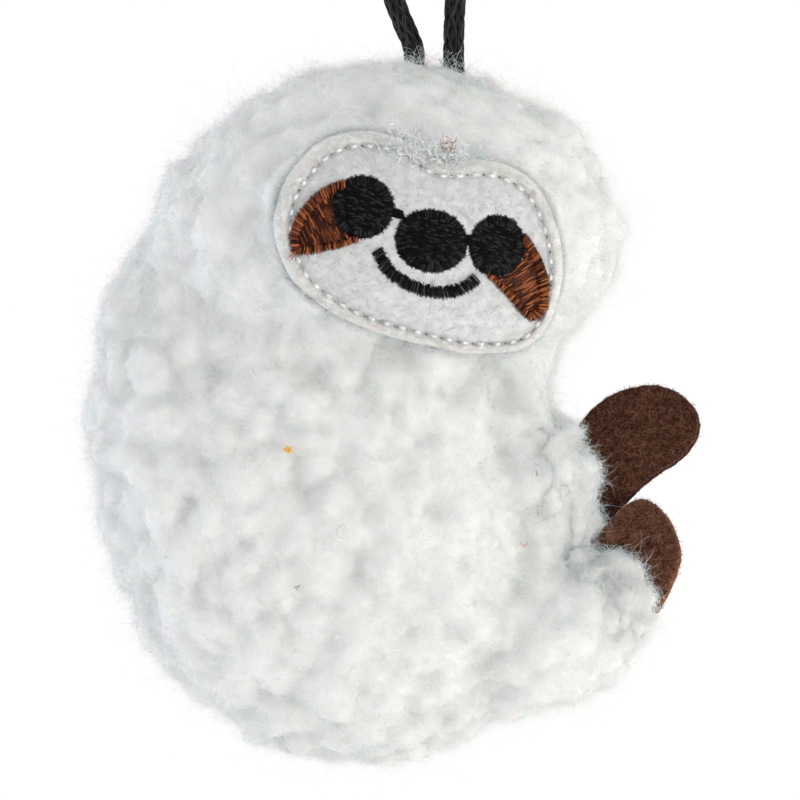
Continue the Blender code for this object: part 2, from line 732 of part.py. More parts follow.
def build():
    hanging_cord()
    tail_holes = []
    for name, end in zip(("left_cord_tail", "right_cord_tail"), cord_ends()):
        cord_tail(name, end, material=CORD_BLACK)
        tail_holes.append(cord_tail(f"{name}_hole", end, GAP))
    around_torso = form_object(TORSO, "around_torso", GAP, fineness_share=TORSO.fineness_share)
    around_leg = form_object(LEG, "around_leg", GAP)
    around_head = form_object(HEAD, "around_head", GAP)
    stuffed_pieces(TORSO, [])
    stuffed_pieces(HEAD, [around_torso, *tail_holes])
    stuffed_pieces(LEG, [around_torso])
    stuffed_pieces(ARM, [around_torso, around_leg, around_head])
    tails = [(end - Vector((0, 0, CORD_RADIUS + GAP + TAIL_LENGTH / 2)), TAIL_LENGTH) for end in cord_ends()]
    seam_thread(TORSO, [HEAD, LEG, ARM])
    seam_thread(HEAD, [TORSO], tails)
    seam_thread(LEG, [TORSO, ARM])
    seam_thread(ARM, [TORSO, LEG])
    face()
    paw_layers(UPPER_PAW)
    paw_layers(LOWER_PAW)

    nodes = [piece for piece in PARTS.objects if piece.type == "MESH"]
    paws = [piece for piece in nodes if "_paw_" in piece.name]
    plush = [piece for piece in nodes if piece not in paws and piece.name != "hanging_cord"]
    swing = hang_on("plush_swing", Vector((SWING_X, 0, SWING_Z)), plush)
    for paw in (UPPER_PAW, LOWER_PAW):
        flap = hang_on(f"{paw.name}_bend", paw.hinge, [piece for piece in paws if paw.name in piece.name])
        flap.parent = swing
        flap.matrix_parent_inverse = swing.matrix_world.inverted()


build()
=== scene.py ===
"""The looks of a hanging plush sloth: white fleece, an embroidered felt face, felt paws and a cord.

Lengths named _MM are in millimetres on the real toy. Places named _PX are pixels of the 800-pixel
frame, and the camera's ray takes them to the surface that carries them.
"""

import json
import math

import bmesh
import bpy
import numpy as np
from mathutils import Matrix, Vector
from mathutils.bvhtree import BVHTree
from mathutils.geometry import delaunay_2d_cdt
from mathutils.kdtree import KDTree

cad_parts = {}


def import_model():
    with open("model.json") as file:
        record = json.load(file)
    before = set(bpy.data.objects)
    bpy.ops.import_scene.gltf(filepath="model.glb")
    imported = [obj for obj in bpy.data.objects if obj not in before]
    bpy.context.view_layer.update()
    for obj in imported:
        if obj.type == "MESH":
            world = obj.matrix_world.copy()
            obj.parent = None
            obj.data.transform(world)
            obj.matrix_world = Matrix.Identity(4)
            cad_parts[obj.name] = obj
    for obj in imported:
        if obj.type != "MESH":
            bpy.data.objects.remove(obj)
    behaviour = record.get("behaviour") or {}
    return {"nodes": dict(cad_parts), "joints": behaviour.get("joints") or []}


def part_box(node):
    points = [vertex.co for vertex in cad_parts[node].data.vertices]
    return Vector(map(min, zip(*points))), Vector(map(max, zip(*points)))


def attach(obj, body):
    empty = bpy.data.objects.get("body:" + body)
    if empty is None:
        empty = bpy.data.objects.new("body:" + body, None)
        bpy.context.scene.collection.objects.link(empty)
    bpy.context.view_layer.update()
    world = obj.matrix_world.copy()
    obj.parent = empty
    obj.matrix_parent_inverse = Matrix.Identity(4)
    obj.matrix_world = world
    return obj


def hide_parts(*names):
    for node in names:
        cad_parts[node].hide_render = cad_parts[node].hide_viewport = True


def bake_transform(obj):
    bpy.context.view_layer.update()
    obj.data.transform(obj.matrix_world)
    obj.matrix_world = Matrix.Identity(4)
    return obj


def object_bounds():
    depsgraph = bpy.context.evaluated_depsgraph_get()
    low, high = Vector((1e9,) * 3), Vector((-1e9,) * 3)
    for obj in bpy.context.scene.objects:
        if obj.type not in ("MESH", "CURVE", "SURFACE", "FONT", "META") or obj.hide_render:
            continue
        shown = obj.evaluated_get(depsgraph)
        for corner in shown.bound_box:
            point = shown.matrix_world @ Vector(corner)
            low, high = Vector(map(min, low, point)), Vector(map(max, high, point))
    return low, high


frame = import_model()
cad_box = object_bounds()

MM = 0.001

# The camera: level, in front of the face, far enough away to show the toy nearly flat
FRAME_PX = 800
PX_PER_MM = 7.3
VIEW_X_MM, VIEW_Z_MM = 6.85, -128.1
LENS_MM, SENSOR_MM = 250, 36
FIELD_MM = FRAME_PX / PX_PER_MM
DISTANCE_MM = FIELD_MM * LENS_MM / SENSOR_MM
EYE_MM = np.array([VIEW_X_MM, -DISTANCE_MM, VIEW_Z_MM])

# The cord's route from the left sewn end over the loop's top to the right one, as (x, z)
CORD_DIAMETER_MM = 3.0
CORD_ROOT_MM = 3.4
CORD_ROUTE_MM = [
    (8.7, -80.0), (7.1, -76.0), (5.4, -71.5), (2.2, -62.5), (-1.9, -52.0), (-6.1, -41.0),
    (-9.6, -30.0), (-11.4, -20.0), (-10.6, -10.5), (-6.8, -2.8), (-0.4, 1.5), (7.0, 0.1),
    (12.8, -5.2), (16.6, -13.5), (18.4, -24.5), (18.5, -37.0), (17.3, -50.0), (15.8, -61.5),
    (14.6, -71.5), (14.3, -76.0), (14.2, -80.0),
]

# The face: its running stitch, clockwise from the left, and the embroidery inside it
STITCH_ROUTE_PX = [
    (294, 203), (302, 186), (322, 162), (342, 149), (361, 146), (378, 147), (395, 151),
    (413, 159), (424, 168), (438, 175), (456, 176), (471, 175), (486, 175), (502, 178),
    (519, 187), (531, 199), (540, 216), (546, 233), (550, 252), (551, 275), (547, 300),
    (539, 322), (526, 337), (509, 343), (489, 344), (465, 343), (437, 337), (406, 329),
    (384, 323), (357, 313), (330, 297), (311, 281), (301, 266), (294, 247), (291, 225),
]
STITCHES = 46
STITCH_COLUMNS = 8
# Where the needle's hole is within a stitch, which starts at the thread's end before it
HOLE_SHARE = 0.87
FACE_MIDDLE_PX = (424, 244)
FELT_TOP_MM = 1.35
THREAD_PITCH_PX = 1.6
THREAD_RADIUS_MM = 0.105

FIBRE_SHARE = 1.0


def linked(name, data):
    """A new object, in the scene."""
    made = bpy.data.objects.new(name, data)
    bpy.context.scene.collection.objects.link(made)
    return made


def camera():
    data = bpy.data.cameras.new("camera")
    data.lens = LENS_MM
    data.sensor_width = SENSOR_MM
    data.clip_start = 0.01
    data.clip_end = 10
    made = linked("camera", data)
    made.location = EYE_MM * MM
    made.rotation_euler = (math.pi / 2, 0, 0)
    bpy.context.scene.camera = made


def unit(vectors):
    return vectors / np.maximum(np.linalg.norm(vectors, axis=-1, keepdims=True), 1e-12)


def seen_at(places_px, y_mm=0.0):
    """The points in mm, at those depths, that the camera sees at those pixels."""
    places = np.asarray(places_px, float)
    spread = (DISTANCE_MM + y_mm) / DISTANCE_MM / PX_PER_MM
    x = VIEW_X_MM + (places[..., 0] - FRAME_PX / 2) * spread
    z = VIEW_Z_MM - (places[..., 1] - FRAME_PX / 2) * spread
    return np.stack([x, np.broadcast_to(y_mm, x.shape), z], axis=-1)


def smooth_line(points, steps, closed=False):
    """A smooth curve through the points, with that many steps for each stretch."""
    points = np.asarray(points, float)
    count = len(points)
    stretches = count if closed else count - 1
    near = np.arange(stretches)[:, None] + np.array([-1, 0, 1, 2])
    near = near % count if closed else near.clip(0, count - 1)
    a, b, c, d = (points[near[:, k]][:, None] for k in range(4))
    t = (np.arange(steps) / steps)[None, :, None]
    square, cube = 2 * a - 5 * b + 4 * c - d, 3 * b - a - 3 * c + d
    curve = 0.5 * (2 * b + (c - a) * t + square * t**2 + cube * t**3)
    curve = curve.reshape(-1, points.shape[1])
    return curve if closed else np.vstack([curve, points[-1]])


def evenly(line, count, closed=False):
    """That many points at equal steps along a line."""
    line = np.vstack([line, line[:1]]) if closed else line
    run = np.concatenate([[0], np.cumsum(np.linalg.norm(np.diff(line, axis=0), axis=1))])
    wanted = np.linspace(0, run[-1], count, endpoint=not closed)
    return np.stack([np.interp(wanted, run, line[:, k]) for k in range(line.shape[1])], axis=1)


def bell(distance, reach):
    """One at no distance, and smoothly less over about that reach."""
    return np.exp(-((distance / reach) ** 2))


def line_length(line):
    return np.linalg.norm(np.diff(line, axis=0), axis=1).sum()


def gap_to(loop, points):
    """Each point's distance from the nearest point of a loop."""
    return np.linalg.norm(points[:, None] - loop[None], axis=2).min(axis=1)


def doubled_area(loop):
    """Twice the area in a closed 2D loop, below nought where it runs the other way round."""
    after = np.roll(loop, -1, axis=0)
    return (loop[:, 0] * after[:, 1] - after[:, 0] * loop[:, 1]).sum()


def outward(loop):
    """The unit normals of a closed 2D loop, pointing out of it."""
    ahead = unit(np.roll(loop, -1, axis=0) - np.roll(loop, 1, axis=0))
    return np.stack([ahead[:, 1], -ahead[:, 0]], axis=1) * np.sign(doubled_area(loop))


def mesh_piece(name, points_mm, faces, materials, face_material=None):
    """A smooth-shaded mesh object. Each array in faces holds faces with one number of corners."""
    mesh = bpy.data.meshes.new(name)
    corners = np.concatenate([group.ravel() for group in faces]).astype(np.int32)
    sizes = np.concatenate([np.full(len(group), group.shape[1]) for group in faces])
    starts = (np.cumsum(sizes) - sizes).astype(np.int32)
    mesh.vertices.add(len(points_mm))
    mesh.vertices.foreach_set("co", (np.asarray(points_mm) * MM).astype(np.float32).ravel())
    mesh.loops.add(len(corners))
    mesh.loops.foreach_set("vertex_index", corners)
    mesh.polygons.add(len(sizes))
    mesh.polygons.foreach_set("loop_start", starts)
    mesh.update(calc_edges=True)
    mesh.shade_smooth()
    for material in materials:
        mesh.materials.append(material)
    if face_material is not None:
        mesh.polygons.foreach_set("material_index", face_material.astype(np.int32))
    return linked(name, mesh)


def ring_quads(index):
    """The faces between neighbouring closed rings of point numbers, (..., rings, points)."""
    here, there = index[..., :-1, :], index[..., 1:, :]
    corners = [here, np.roll(here, -1, -1), np.roll(there, -1, -1), there]
    return np.stack(corners, axis=-1).reshape(-1, 4)


def tubes(name, lines, radii, sides, materials, which=None):
    """One mesh of closed tubes along lines, (tubes, points, 3). radii fits (tubes, points), and which
    gives each tube its material."""
    count, points = lines.shape[:2]
    radii = np.broadcast_to(radii, (count, points))
    along = unit(np.gradient(lines, axis=1))
    overall = unit(lines[:, -1] - lines[:, 0] + 1e-9)
    least = np.eye(3)[np.abs(overall).argmin(axis=1)]
    aside = unit(np.cross(along, least[:, None]))
    up = np.cross(along, aside)
    turns = 2 * np.pi * np.arange(sides) / sides
    ring = np.cos(turns)[:, None] * aside[:, :, None] + np.sin(turns)[:, None] * up[:, :, None]
    places = lines[:, :, None] + radii[:, :, None, None] * ring
    index = np.arange(count * points * sides).reshape(count, points, sides)
    caps = np.concatenate([index[:, 0, ::-1], index[:, -1]])
    picked = None
    if which is not None:
        picked = np.concatenate([np.repeat(which, (points - 1) * sides), which, which])
    return mesh_piece(name, places.reshape(-1, 3), [ring_quads(index), caps], materials, picked)


def from_rings(name, rings, materials):
    """A closed mesh through alike rings, (rings, points, 3), whose ends shut to their middles."""
    count, points = rings.shape[:2]
    index = np.arange(count * points).reshape(count, points)
    first, last = count * points, count * points + 1
    starts = np.stack([np.roll(index[0], -1), index[0], np.full(points, first)], axis=-1)
    ends = np.stack([index[-1], np.roll(index[-1], -1), np.full(points, last)], axis=-1)
    places = np.vstack([rings.reshape(-1, 3), rings[0].mean(axis=0), rings[-1].mean(axis=0)])
    made = mesh_piece(name, places, [ring_quads(index), np.concatenate([starts, ends])], materials)
    volume = bmesh.new()
    volume.from_mesh(made.data)
    if volume.calc_volume(signed=True) < 0:
        made.data.flip_normals()
    volume.free()
    return made


def put(piece, body, slot, *nodes):
    """Says which body carries a piece and which CAD nodes it stands for, and hides those.
    slot, its finish, is not used.
    """
    if nodes:
        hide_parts(*nodes)
    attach(piece, body)


# Materials


def dressed(piece, material):
    """Gives a piece that one material."""
    piece.data.materials.clear()
    piece.data.materials.append(material)


def linear(hex_colour):
    """An sRGB hex colour as linear RGBA."""
    channels = [int(hex_colour[k : k + 2], 16) / 255 for k in (1, 3, 5)]
    return (*[c / 12.92 if c <= 0.04045 else ((c + 0.055) / 1.055) ** 2.4 for c in channels], 1)


def add(tree, kind, inputs=None, **settings):
    """Adds a node. An input given as a socket is linked to it, and any other value is set."""
    made = tree.nodes.new(kind)
    for key, value in settings.items():
        setattr(made, key, value)
    for key, value in (inputs or {}).items():
        if isinstance(value, bpy.types.NodeSocket):
            tree.links.new(value, made.inputs[key])
        else:
            made.inputs[key].default_value = value
    return made


def finish(name, **inputs):
    """A material and its Principled shader, with values set on the shader's own sockets."""
    material = bpy.data.materials.new(name)
    material.use_nodes = True
    tree = material.node_tree
    shader = tree.nodes["Principled BSDF"]
    for key, value in inputs.items():
        shader.inputs[key.replace("_", " ")].default_value = value
    return material, tree, shader


def object_place(tree):
    return add(tree, "ShaderNodeTexCoord").outputs["Object"]


def noise(tree, place, size_mm, **inputs):
    """Noise with features of that size in object coordinates."""
    inputs = {"Vector": place, "Scale": 1 / (size_mm * MM), **inputs}
    return add(tree, "ShaderNodeTexNoise", inputs).outputs["Fac"]


def mottled(tree, shader, place, dark, light, size_mm, detail=3.0):
    """Base colour that drifts between two tones over patches of that size."""
    patches = noise(tree, place, size_mm, Detail=detail)
    share = add(tree, "ShaderNodeMapRange", {"Value": patches, "From Min": 0.35, "From Max": 0.65})
    mix = add(tree, "ShaderNodeMix", {"Factor": share.outputs["Result"]}, data_type="RGBA")
    mix.inputs["A"].default_value = linear(dark)
    mix.inputs["B"].default_value = linear(light)
    tree.links.new(mix.outputs["Result"], shader.inputs["Base Color"])


def bumped(tree, shader, height, depth_mm):
    bump = add(tree, "ShaderNodeBump", {"Height": height, "Distance": depth_mm * MM})
    tree.links.new(bump.outputs["Normal"], shader.inputs["Normal"])


def sherpa_ground():
    """Polyester sherpa fleece: crimped white fibre. Light passes into it, so its creases stay pale,
    and a sheen softens its edges."""
    material, tree, shader = finish(
        "sherpa_fleece", Roughness=1.0, Specular_IOR_Level=0.05, Subsurface_Weight=0.85,
        Subsurface_Scale=3.0 * MM, Sheen_Weight=0.25, Sheen_Roughness=0.6,
    )
    shader.inputs["Subsurface Radius"].default_value = (1.0, 1.0, 1.0)
    place = object_place(tree)
    mottled(tree, shader, place, "#F3F5F2", "#FCFCFA", 4.0)
    curls_height = noise(tree, place, 0.6, Detail=5.0, Roughness=0.65, Distortion=1.2)
    bumped(tree, shader, curls_height, 0.35)
    return material


def fibre(name, colour, **inputs):
    """A single crimped fibre, too thin to show a pattern of its own."""
    material, _, shader = finish(name, Roughness=0.85, Specular_IOR_Level=0.15, **inputs)
    shader.inputs["Base Color"].default_value = linear(colour)
    return material


def pressed_felt(name, dark, light, patch_mm, fibre_mm, depth_mm, **inputs):
    """Needled felt: short fibres pressed every way, so the tone wanders, the surface is finely matted
    and light catches on it without a gloss."""
    material, tree, shader = finish(name, Roughness=0.95, Specular_IOR_Level=0.15, **inputs)
    place = object_place(tree)
    mottled(tree, shader, place, dark, light, patch_mm, detail=8.0)
    mat = noise(tree, place, fibre_mm, Detail=6.0, Roughness=0.7, Distortion=2.5)
    bumped(tree, shader, mat, depth_mm)
    return material


def rayon(name, dark, light, roughness=0.45, specular=0.16):
    """Rayon thread or satin cord: smooth, slightly glossy filaments side by side, which give each
    thread a soft streak of light."""
    material, tree, shader = finish(
        name, Roughness=roughness, Specular_IOR_Level=specular, Anisotropic=0.5,
    )
    mottled(tree, shader, object_place(tree), dark, light, 0.5, detail=2.0)
    return material


SHERPA = sherpa_ground()
# The pile's own fibres let light through, so their tips stay bright. Clear ones look a little cooler.
PILE_FIBRE = fibre("sherpa_fibre", "#FCFCFA", Subsurface_Weight=0.6, Subsurface_Scale=0.5 * MM)
COOL_FIBRE = fibre("clear_polyester_fibre", "#F0F2F5")
# The face's felt is a little grey inside its stitches. Its rim is whiter: its own cream white, painted
# lighter to make up for the shade that the pile beside it casts
WHITE_FELT = pressed_felt(
    "white_felt", "#D3D5D6", "#E4E5E5", 1.2, 0.22, 0.09, Sheen_Weight=0.2,
)
RIM_FELT = pressed_felt(
    "white_felt_rim", "#ECECE7", "#F8F8F4", 1.2, 0.25, 0.1, Sheen_Weight=0.2,
    Subsurface_Weight=0.4, Subsurface_Scale=0.8 * MM,
)
FELT_FIBRE = fibre("white_felt_fibre", "#E2E3E4")
# The paws' felt is dark, and rusty where it is cut. The lower paw's front is painted paler, as painted
# light where light from the lower right falls on it
BROWN_FELT = pressed_felt(
    "brown_felt", "#361C14", "#522E20", 0.9, 0.2, 0.14, Sheen_Weight=0.1,
)
BROWN_FELT_PAINTED_LIGHTER = pressed_felt(
    "brown_felt_painted_lighter", "#6C463A", "#8E6051", 0.9, 0.2, 0.14, Sheen_Weight=0.1,
)
RUST_FELT = pressed_felt(
    "brown_felt_cut_edge", "#7E4A2C", "#A0623C", 0.9, 0.2, 0.14, Sheen_Weight=0.1,
)
BROWN_FIBRE = fibre("brown_felt_fibre", "#53301F")
LIGHT_BROWN_FIBRE = fibre("light_brown_felt_fibre", "#966A55")
DARK_BROWN_FIBRE = fibre("dark_brown_felt_fibre", "#2A1612")
# Embroidery: single threads lie turned to the light or away from it, so each colour has two or three:
# the plain thread, a lit copy with painted highlight and, for brown, a shaded copy with painted shade
BLACK_THREAD = rayon("black_rayon_thread", "#040405", "#0B0B0D", specular=0.08)
BLACK_GLINT = rayon("black_rayon_thread_lit", "#18181A", "#2C2C30", 0.38)
BROWN_THREAD = rayon("brown_rayon_thread", "#5E2E19", "#7A4124")
BROWN_GLINT = rayon("brown_rayon_thread_lit", "#9A5630", "#B4683C", 0.38)
BROWN_SHADED_THREAD = rayon("brown_rayon_thread_shaded", "#2A120A", "#401D10", specular=0.08)
# Two-ply polyester, smoother and brighter than the felt, and grey for the shadow inside the needle's
# holes: painted shade
WHITE_THREAD = rayon("white_polyester_thread", "#F4F5F6", "#FFFFFF", 0.35)
NEEDLE_HOLE_SHADE = fibre("painted_needle_hole_shade", "#7C7D81")
# The cord: satin yarns, some of which catch the light and so carry painted highlight, round a dull
# core
SATIN_CORD = rayon("black_satin_cord", "#110F12", "#211E22", 0.36)
SATIN_LIT = rayon("black_satin_cord_lit", "#2C272B", "#453E43", 0.3)
SATIN_CORE = rayon("black_satin_cord_core", "#08080A", "#101012", 0.6)


# The cord


def braided_cord():
    """Sixteen yarns round a core, eight each way, which cross over and under in long floats. A
    real yarn has dozens of filaments, too fine to show: four thicker ones stand for them."""
    random = np.random.default_rng(2)
    yarns, helix_mm, filaments = 16, 26.0, 4
    filament_radius, spread_mm, wave_mm, step_mm = 0.105, 0.15, 0.045, 0.36
    core_gap_mm, flatten_mm, pinch_share, paler_share = 0.36, 0.05, 0.25, 0.2
    ends = [(CORD_ROUTE_MM[k][0], CORD_ROUTE_MM[k][1] - CORD_ROOT_MM) for k in (0, -1)]
    route = np.array([(x, 0, z) for x, z in (ends[0], *CORD_ROUTE_MM, ends[1])])
    rough = smooth_line(route, 24)
    length = line_length(rough)
    middle = evenly(rough, round(length / step_mm))
    run = np.linspace(0, length, len(middle))
    along = unit(np.gradient(middle, axis=0))
    aside = np.broadcast_to([0.0, 1.0, 0.0], along.shape)
    out = np.cross(along, aside)
    pieces = []
    for way, side in ((-1, "left"), (1, "right")):
        lines = []
        for yarn in range(yarns // 2):
            turn = way * 2 * np.pi * run / helix_mm + 2 * np.pi * yarn / (yarns / 2)
            over = way * np.sin(yarns / 2 * turn * way)
            radius = CORD_DIAMETER_MM / 2 - filament_radius - wave_mm + wave_mm * over
            for filament in range(filaments):
                shift = filament - (filaments - 1) / 2
                angle = turn + shift * spread_mm * (1 + pinch_share * over) / radius
                around = np.cos(angle)[:, None] * aside + np.sin(angle)[:, None] * out
                lines.append(middle + (radius - flatten_mm * abs(shift))[:, None] * around)
        # Some filaments get the lit satin: painted highlight where they catch the light
        paler = random.choice(2, len(lines), p=[1 - paler_share, paler_share])
        pieces.append(tubes(f"hanging_cord_{side}_yarns", np.array(lines), filament_radius, 5,
                            [SATIN_CORD, SATIN_LIT], paler))
    core_radius = CORD_DIAMETER_MM / 2 - core_gap_mm
    pieces.append(tubes("hanging_cord_core", middle[None, ::3], core_radius, 12, [SATIN_CORE]))
    for piece in pieces:
        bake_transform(piece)
    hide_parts("hanging_cord")


# The fleece


# The fleece that fills the corners between the stuffed forms, as (x, z, radius)
WEB_MM = [
    (28.5, -147.2, 5.4), (32.0, -146.9, 3.8), (22.0, -124.0, 6.2), (16.5, -167.0, 7.0),
]


def bulges():
    """The stuffed forms as the seams hold them, as one mesh: a hull for each pair of covers."""
    joined = bmesh.new()
    for form in ("torso", "head", "arm", "leg"):
        hull = bmesh.new()
        for side in ("front", "back"):
            hull.from_mesh(frame["nodes"][f"{form}_{side}_cover"].data)
        found = bmesh.ops.convex_hull(hull, input=hull.verts)
        loose = {*found["geom_interior"], *found["geom_unused"]}
        loose = [element for element in loose if isinstance(element, bmesh.types.BMVert)]
        bmesh.ops.delete(hull, geom=loose, context="VERTS")
        faces = [face for face in hull.faces if face not in set(found["geom"])]
        bmesh.ops.delete(hull, geom=faces, context="FACES")
        part = bpy.data.meshes.new(form)
        hull.to_mesh(part)
        hull.free()
        joined.from_mesh(part)
        bpy.data.meshes.remove(part)
    for x, z, size in WEB_MM:
        found = bmesh.ops.create_icosphere(joined, subdivisions=3, radius=size * MM)
        bmesh.ops.translate(joined, verts=found["verts"], vec=np.array([x, 0, z]) * MM)
    data = bpy.data.meshes.new("fleece")
    joined.to_mesh(data)
    joined.free()
    return data


def outer_shell(data):
    """Drops what isn't joined to the mesh's leftmost point, such as a hollow shut inside it."""
    shell = bmesh.new()
    shell.from_mesh(data)
    found, edge = set(), [min(shell.verts, key=lambda vertex: vertex.co.x)]
    while edge:
        vertex = edge.pop()
        if vertex not in found:
            found.add(vertex)
            edge += [link.other_vert(vertex) for link in vertex.link_edges]
    rest = [vertex for vertex in shell.verts if vertex not in found]
    bmesh.ops.delete(shell, geom=rest, context="VERTS")
    shell.to_mesh(data)
    shell.free()
    return data


def grown_out(data, distance_mm):
    """The mesh moved out along its normals, or in where the distance is below nought."""
    points, normals, _ = read_mesh(data)
    write_points(data, points + distance_mm * normals)
    return data


def remeshed(name, data, voxel_mm, smoothing, levels=0):
    """The mesh as one even skin."""
    made = linked(name, data)
    voxels = made.modifiers.new("voxels", "REMESH")
    voxels.mode = "VOXEL"
    voxels.voxel_size = voxel_mm * MM
    relax = made.modifiers.new("relax", "SMOOTH")
    relax.factor = 0.5
    relax.iterations = smoothing
    if levels:
        fine = made.modifiers.new("fine", "SUBSURF")
        fine.levels = fine.render_levels = levels
    bpy.context.view_layer.update()
    evaluated = made.evaluated_get(bpy.context.evaluated_depsgraph_get())
    mesh = bpy.data.meshes.new_from_object(evaluated)
    made.modifiers.clear()
    made.data = mesh
    mesh.shade_smooth()
    return made


def read_mesh(data):
    """Points in mm, unit normals and the triangles of a mesh."""
    points = np.empty(len(data.vertices) * 3)
    data.vertices.foreach_get("co", points)
    normals = np.empty(len(data.vertices) * 3)
    data.vertices.foreach_get("normal", normals)
    data.calc_loop_triangles()
    triangles = np.empty(len(data.loop_triangles) * 3, np.int32)
    data.loop_triangles.foreach_get("vertices", triangles)
    return points.reshape(-1, 3) / MM, normals.reshape(-1, 3), triangles.reshape(-1, 3)


def write_points(data, points_mm):
    data.vertices.foreach_set("co", (points_mm * MM).astype(np.float32).ravel())
    data.update()


def surface_of(ground):
    """A piece's surface in mm, for rays to meet."""
    points, _, triangles = read_mesh(ground.data)
    return BVHTree.FromPolygons(points.tolist(), triangles.tolist())


def scattered(points, spacing_mm, random):
    """Points picked from these so that none is nearer to another than its own spacing."""
    kept, rooms = np.empty((0, 3)), np.empty(0)
    for candidate in points[random.choice(len(points), TUFT_TRIES, replace=False)]:
        room = spacing_mm * random.uniform(0.8, 1.25)
        if not len(kept) or (np.linalg.norm(kept - candidate, axis=1) > (rooms + room) / 2).all():
            kept = np.vstack([kept, candidate])
            rooms = np.append(rooms, room)
    return kept, rooms


def tree_of(points):
    tree = KDTree(len(points))
    for index, point in enumerate(points):
        tree.insert(point, index)
    tree.balance()
    return tree


# The head's centre and half sizes, as in the CAD
HEAD_CENTRE = np.array([4.85, 0.0, -105.14])
HEAD_HALF = np.array([33.6, 18.5, 23.8])

CORNER_MM = 4.5
TUFT_SPACING_MM = 4.2
TUFT_HEIGHT_MM = 1.7
# How many places are tried for a tuft
TUFT_TRIES = 9000
# The power that tufts are summed by: the larger it is, the less they add up where they meet
TUFT_MERGE = 2.5
# Tufts are half as high at the seam as they are this far from it
FULL_TUFTS_MM = 12
# The ground of the fleece lies this far under the tips of its pile
PILE_DEPTH_MM = 1.9

# Unevenness all over, as height and size, and more of it beside the seam, as height, size and reach
UNEVEN_MM = [(0.3, 14.0), (0.12, 3.0)]
SEAM_UNEVEN_MM = (0.4, 6.0, 5.0)
LUMP_WAVES = 40
# How much of the furrows of the CAD's covers the skin follows
FURROW_SHARE = 0.8

# A low collar of fleece round each root of the cord
COLLAR_DROP_MM, COLLAR_REACH_MM, COLLAR_RISE_MM = 2.0, 2.6, 0.4

# Round the face, in widths of its rim from the stitches: a bank as height in mm, place and reach, and
# the edge of the pressed place under the felt as place and reach
FACE_BANK = (1.8, 2.5, 1.9)
FACE_EDGE = (1.75, 0.2)
FACE_PRESS_MM = 1.2
UNDER_FELT_MM = 0.7
# How far out from the stitches pile, fine pile and stray hairs start, and where pile is densest and
# over what reach
PILE_START, FINE_START, HAIR_START = 1.55, 1.7, 2.5
PILE_BANK = (2.45, 0.5)
# The face's depth in space, the depth behind which nothing counts as near it, and the reach round it
FACE_Y_MM, FACE_BACK_Y_MM, FACE_REACH_MM = -16.0, -4, 30
FAR_AWAY = 99.0

# The flat place at the head's upper left, where the seam draws it in
HEAD_DENT_MM = (-21.0, 0.0, -91.0)
DENT_DEPTH_MM, DENT_REACH_MM = 1.7, 8.5


def tufted(points, random):
    """How far each point stands out for the tufts of the pile."""
    tufts, rooms = scattered(points, TUFT_SPACING_MM, random)
    tree = tree_of(points)
    total = np.zeros(len(points))
    for tuft, room in zip(tufts, rooms):
        reach = room * random.uniform(0.7, 0.85)
        stretch = random.uniform(1.0, 1.7)
        longways = unit(random.normal(size=3))
        height = TUFT_HEIGHT_MM * random.uniform(0.6, 1.15) * room / TUFT_SPACING_MM
        near = np.array([index for _, index, _ in tree.find_range(tuft, reach * stretch)])
        gap = points[near] - tuft
        away = (gap**2).sum(axis=1) - (1 - stretch**-2) * (gap @ longways) ** 2
        total[near] += (height * np.clip(1 - away / reach**2, 0, 1) ** 0.8) ** TUFT_MERGE
    return total ** (1 / TUFT_MERGE)


def furrowed(points, normals):
    """How far the body's cover lies under each point, in the furrows between its broad tufts."""
    covers = bmesh.new()
    for side in ("front", "back"):
        covers.from_mesh(frame["nodes"][f"torso_{side}_cover"].data)
    surface = BVHTree.FromBMesh(covers)
    covers.free()
    start_mm, deepest_mm = 4.0, 2.0
    depth = np.zeros(len(points))
    for index, (start, back) in enumerate(zip((points + start_mm * normals) * MM, -normals)):
        distance = surface.ray_cast(start, back, (start_mm + deepest_mm) * MM)[3]
        if distance is not None:
            depth[index] = max(distance / MM - start_mm, 0.0)
    return depth


def lumpy(points, size_mm, random):
    """Smooth seeded unevenness of about that size, from -1 to 1 or so."""
    waves = random.normal(size=(LUMP_WAVES, 3))
    directions = unit(waves) * random.uniform(0.7, 1.4, (LUMP_WAVES, 1))
    phases = random.uniform(0, 2 * np.pi, LUMP_WAVES)
    total = np.sin(points @ directions.T * (2 * np.pi / size_mm) + phases).sum(axis=1)
    return total / math.sqrt(LUMP_WAVES / 2)


def rim_share(normals):
    """How wide the felt's rim is on that side of the face: full on the left, least below."""
    return 0.8 - 0.17 * normals[..., 0] - 0.25 * np.clip(normals[..., 1], -0.2, 1)


def near_face(points):
    """How far outside the running stitch each front point lies, in shares of the rim's width."""
    loop_px = smooth_line(STITCH_ROUTE_PX, 4, closed=True)
    loop = seen_at(loop_px, FACE_Y_MM)[:, (0, 2)]
    flat = points[:, (0, 2)]
    away = np.full(len(points), FAR_AWAY)
    close = np.abs(flat - loop.mean(axis=0)).max(axis=1) < FACE_REACH_MM
    some = np.flatnonzero((points[:, 1] < FACE_BACK_Y_MM) & close)
    gaps = flat[some, None] - loop[None]
    distance = np.linalg.norm(gaps, axis=2)
    nearest = distance.argmin(axis=1)
    side = (gaps[np.arange(len(some)), nearest] * outward(loop)[nearest]).sum(axis=1)
    away[some] = distance.min(axis=1) * np.sign(side) / rim_share(outward(loop_px)[nearest])
    return away


def relaxed(points, triangles, times):
    """Points moved towards the middle of their neighbours, that many times."""
    pairs = np.concatenate([triangles[:, (0, 1)], triangles[:, (1, 2)], triangles[:, (2, 0)]])
    here, there = np.concatenate([pairs, pairs[:, ::-1]]).T
    count = np.bincount(here, minlength=len(points))[:, None]
    for _ in range(times):
        total = [np.bincount(here, values, len(points)) for values in points[there].T]
        points = 0.5 * points + 0.5 * np.stack(total, axis=1) / count
    return points


def dome(across, up):
    """The head's depth at shares of its half width and half height, as a share of its half depth."""
    return np.sqrt(np.clip(1 - across**2 - up**2, 0.05, 1))


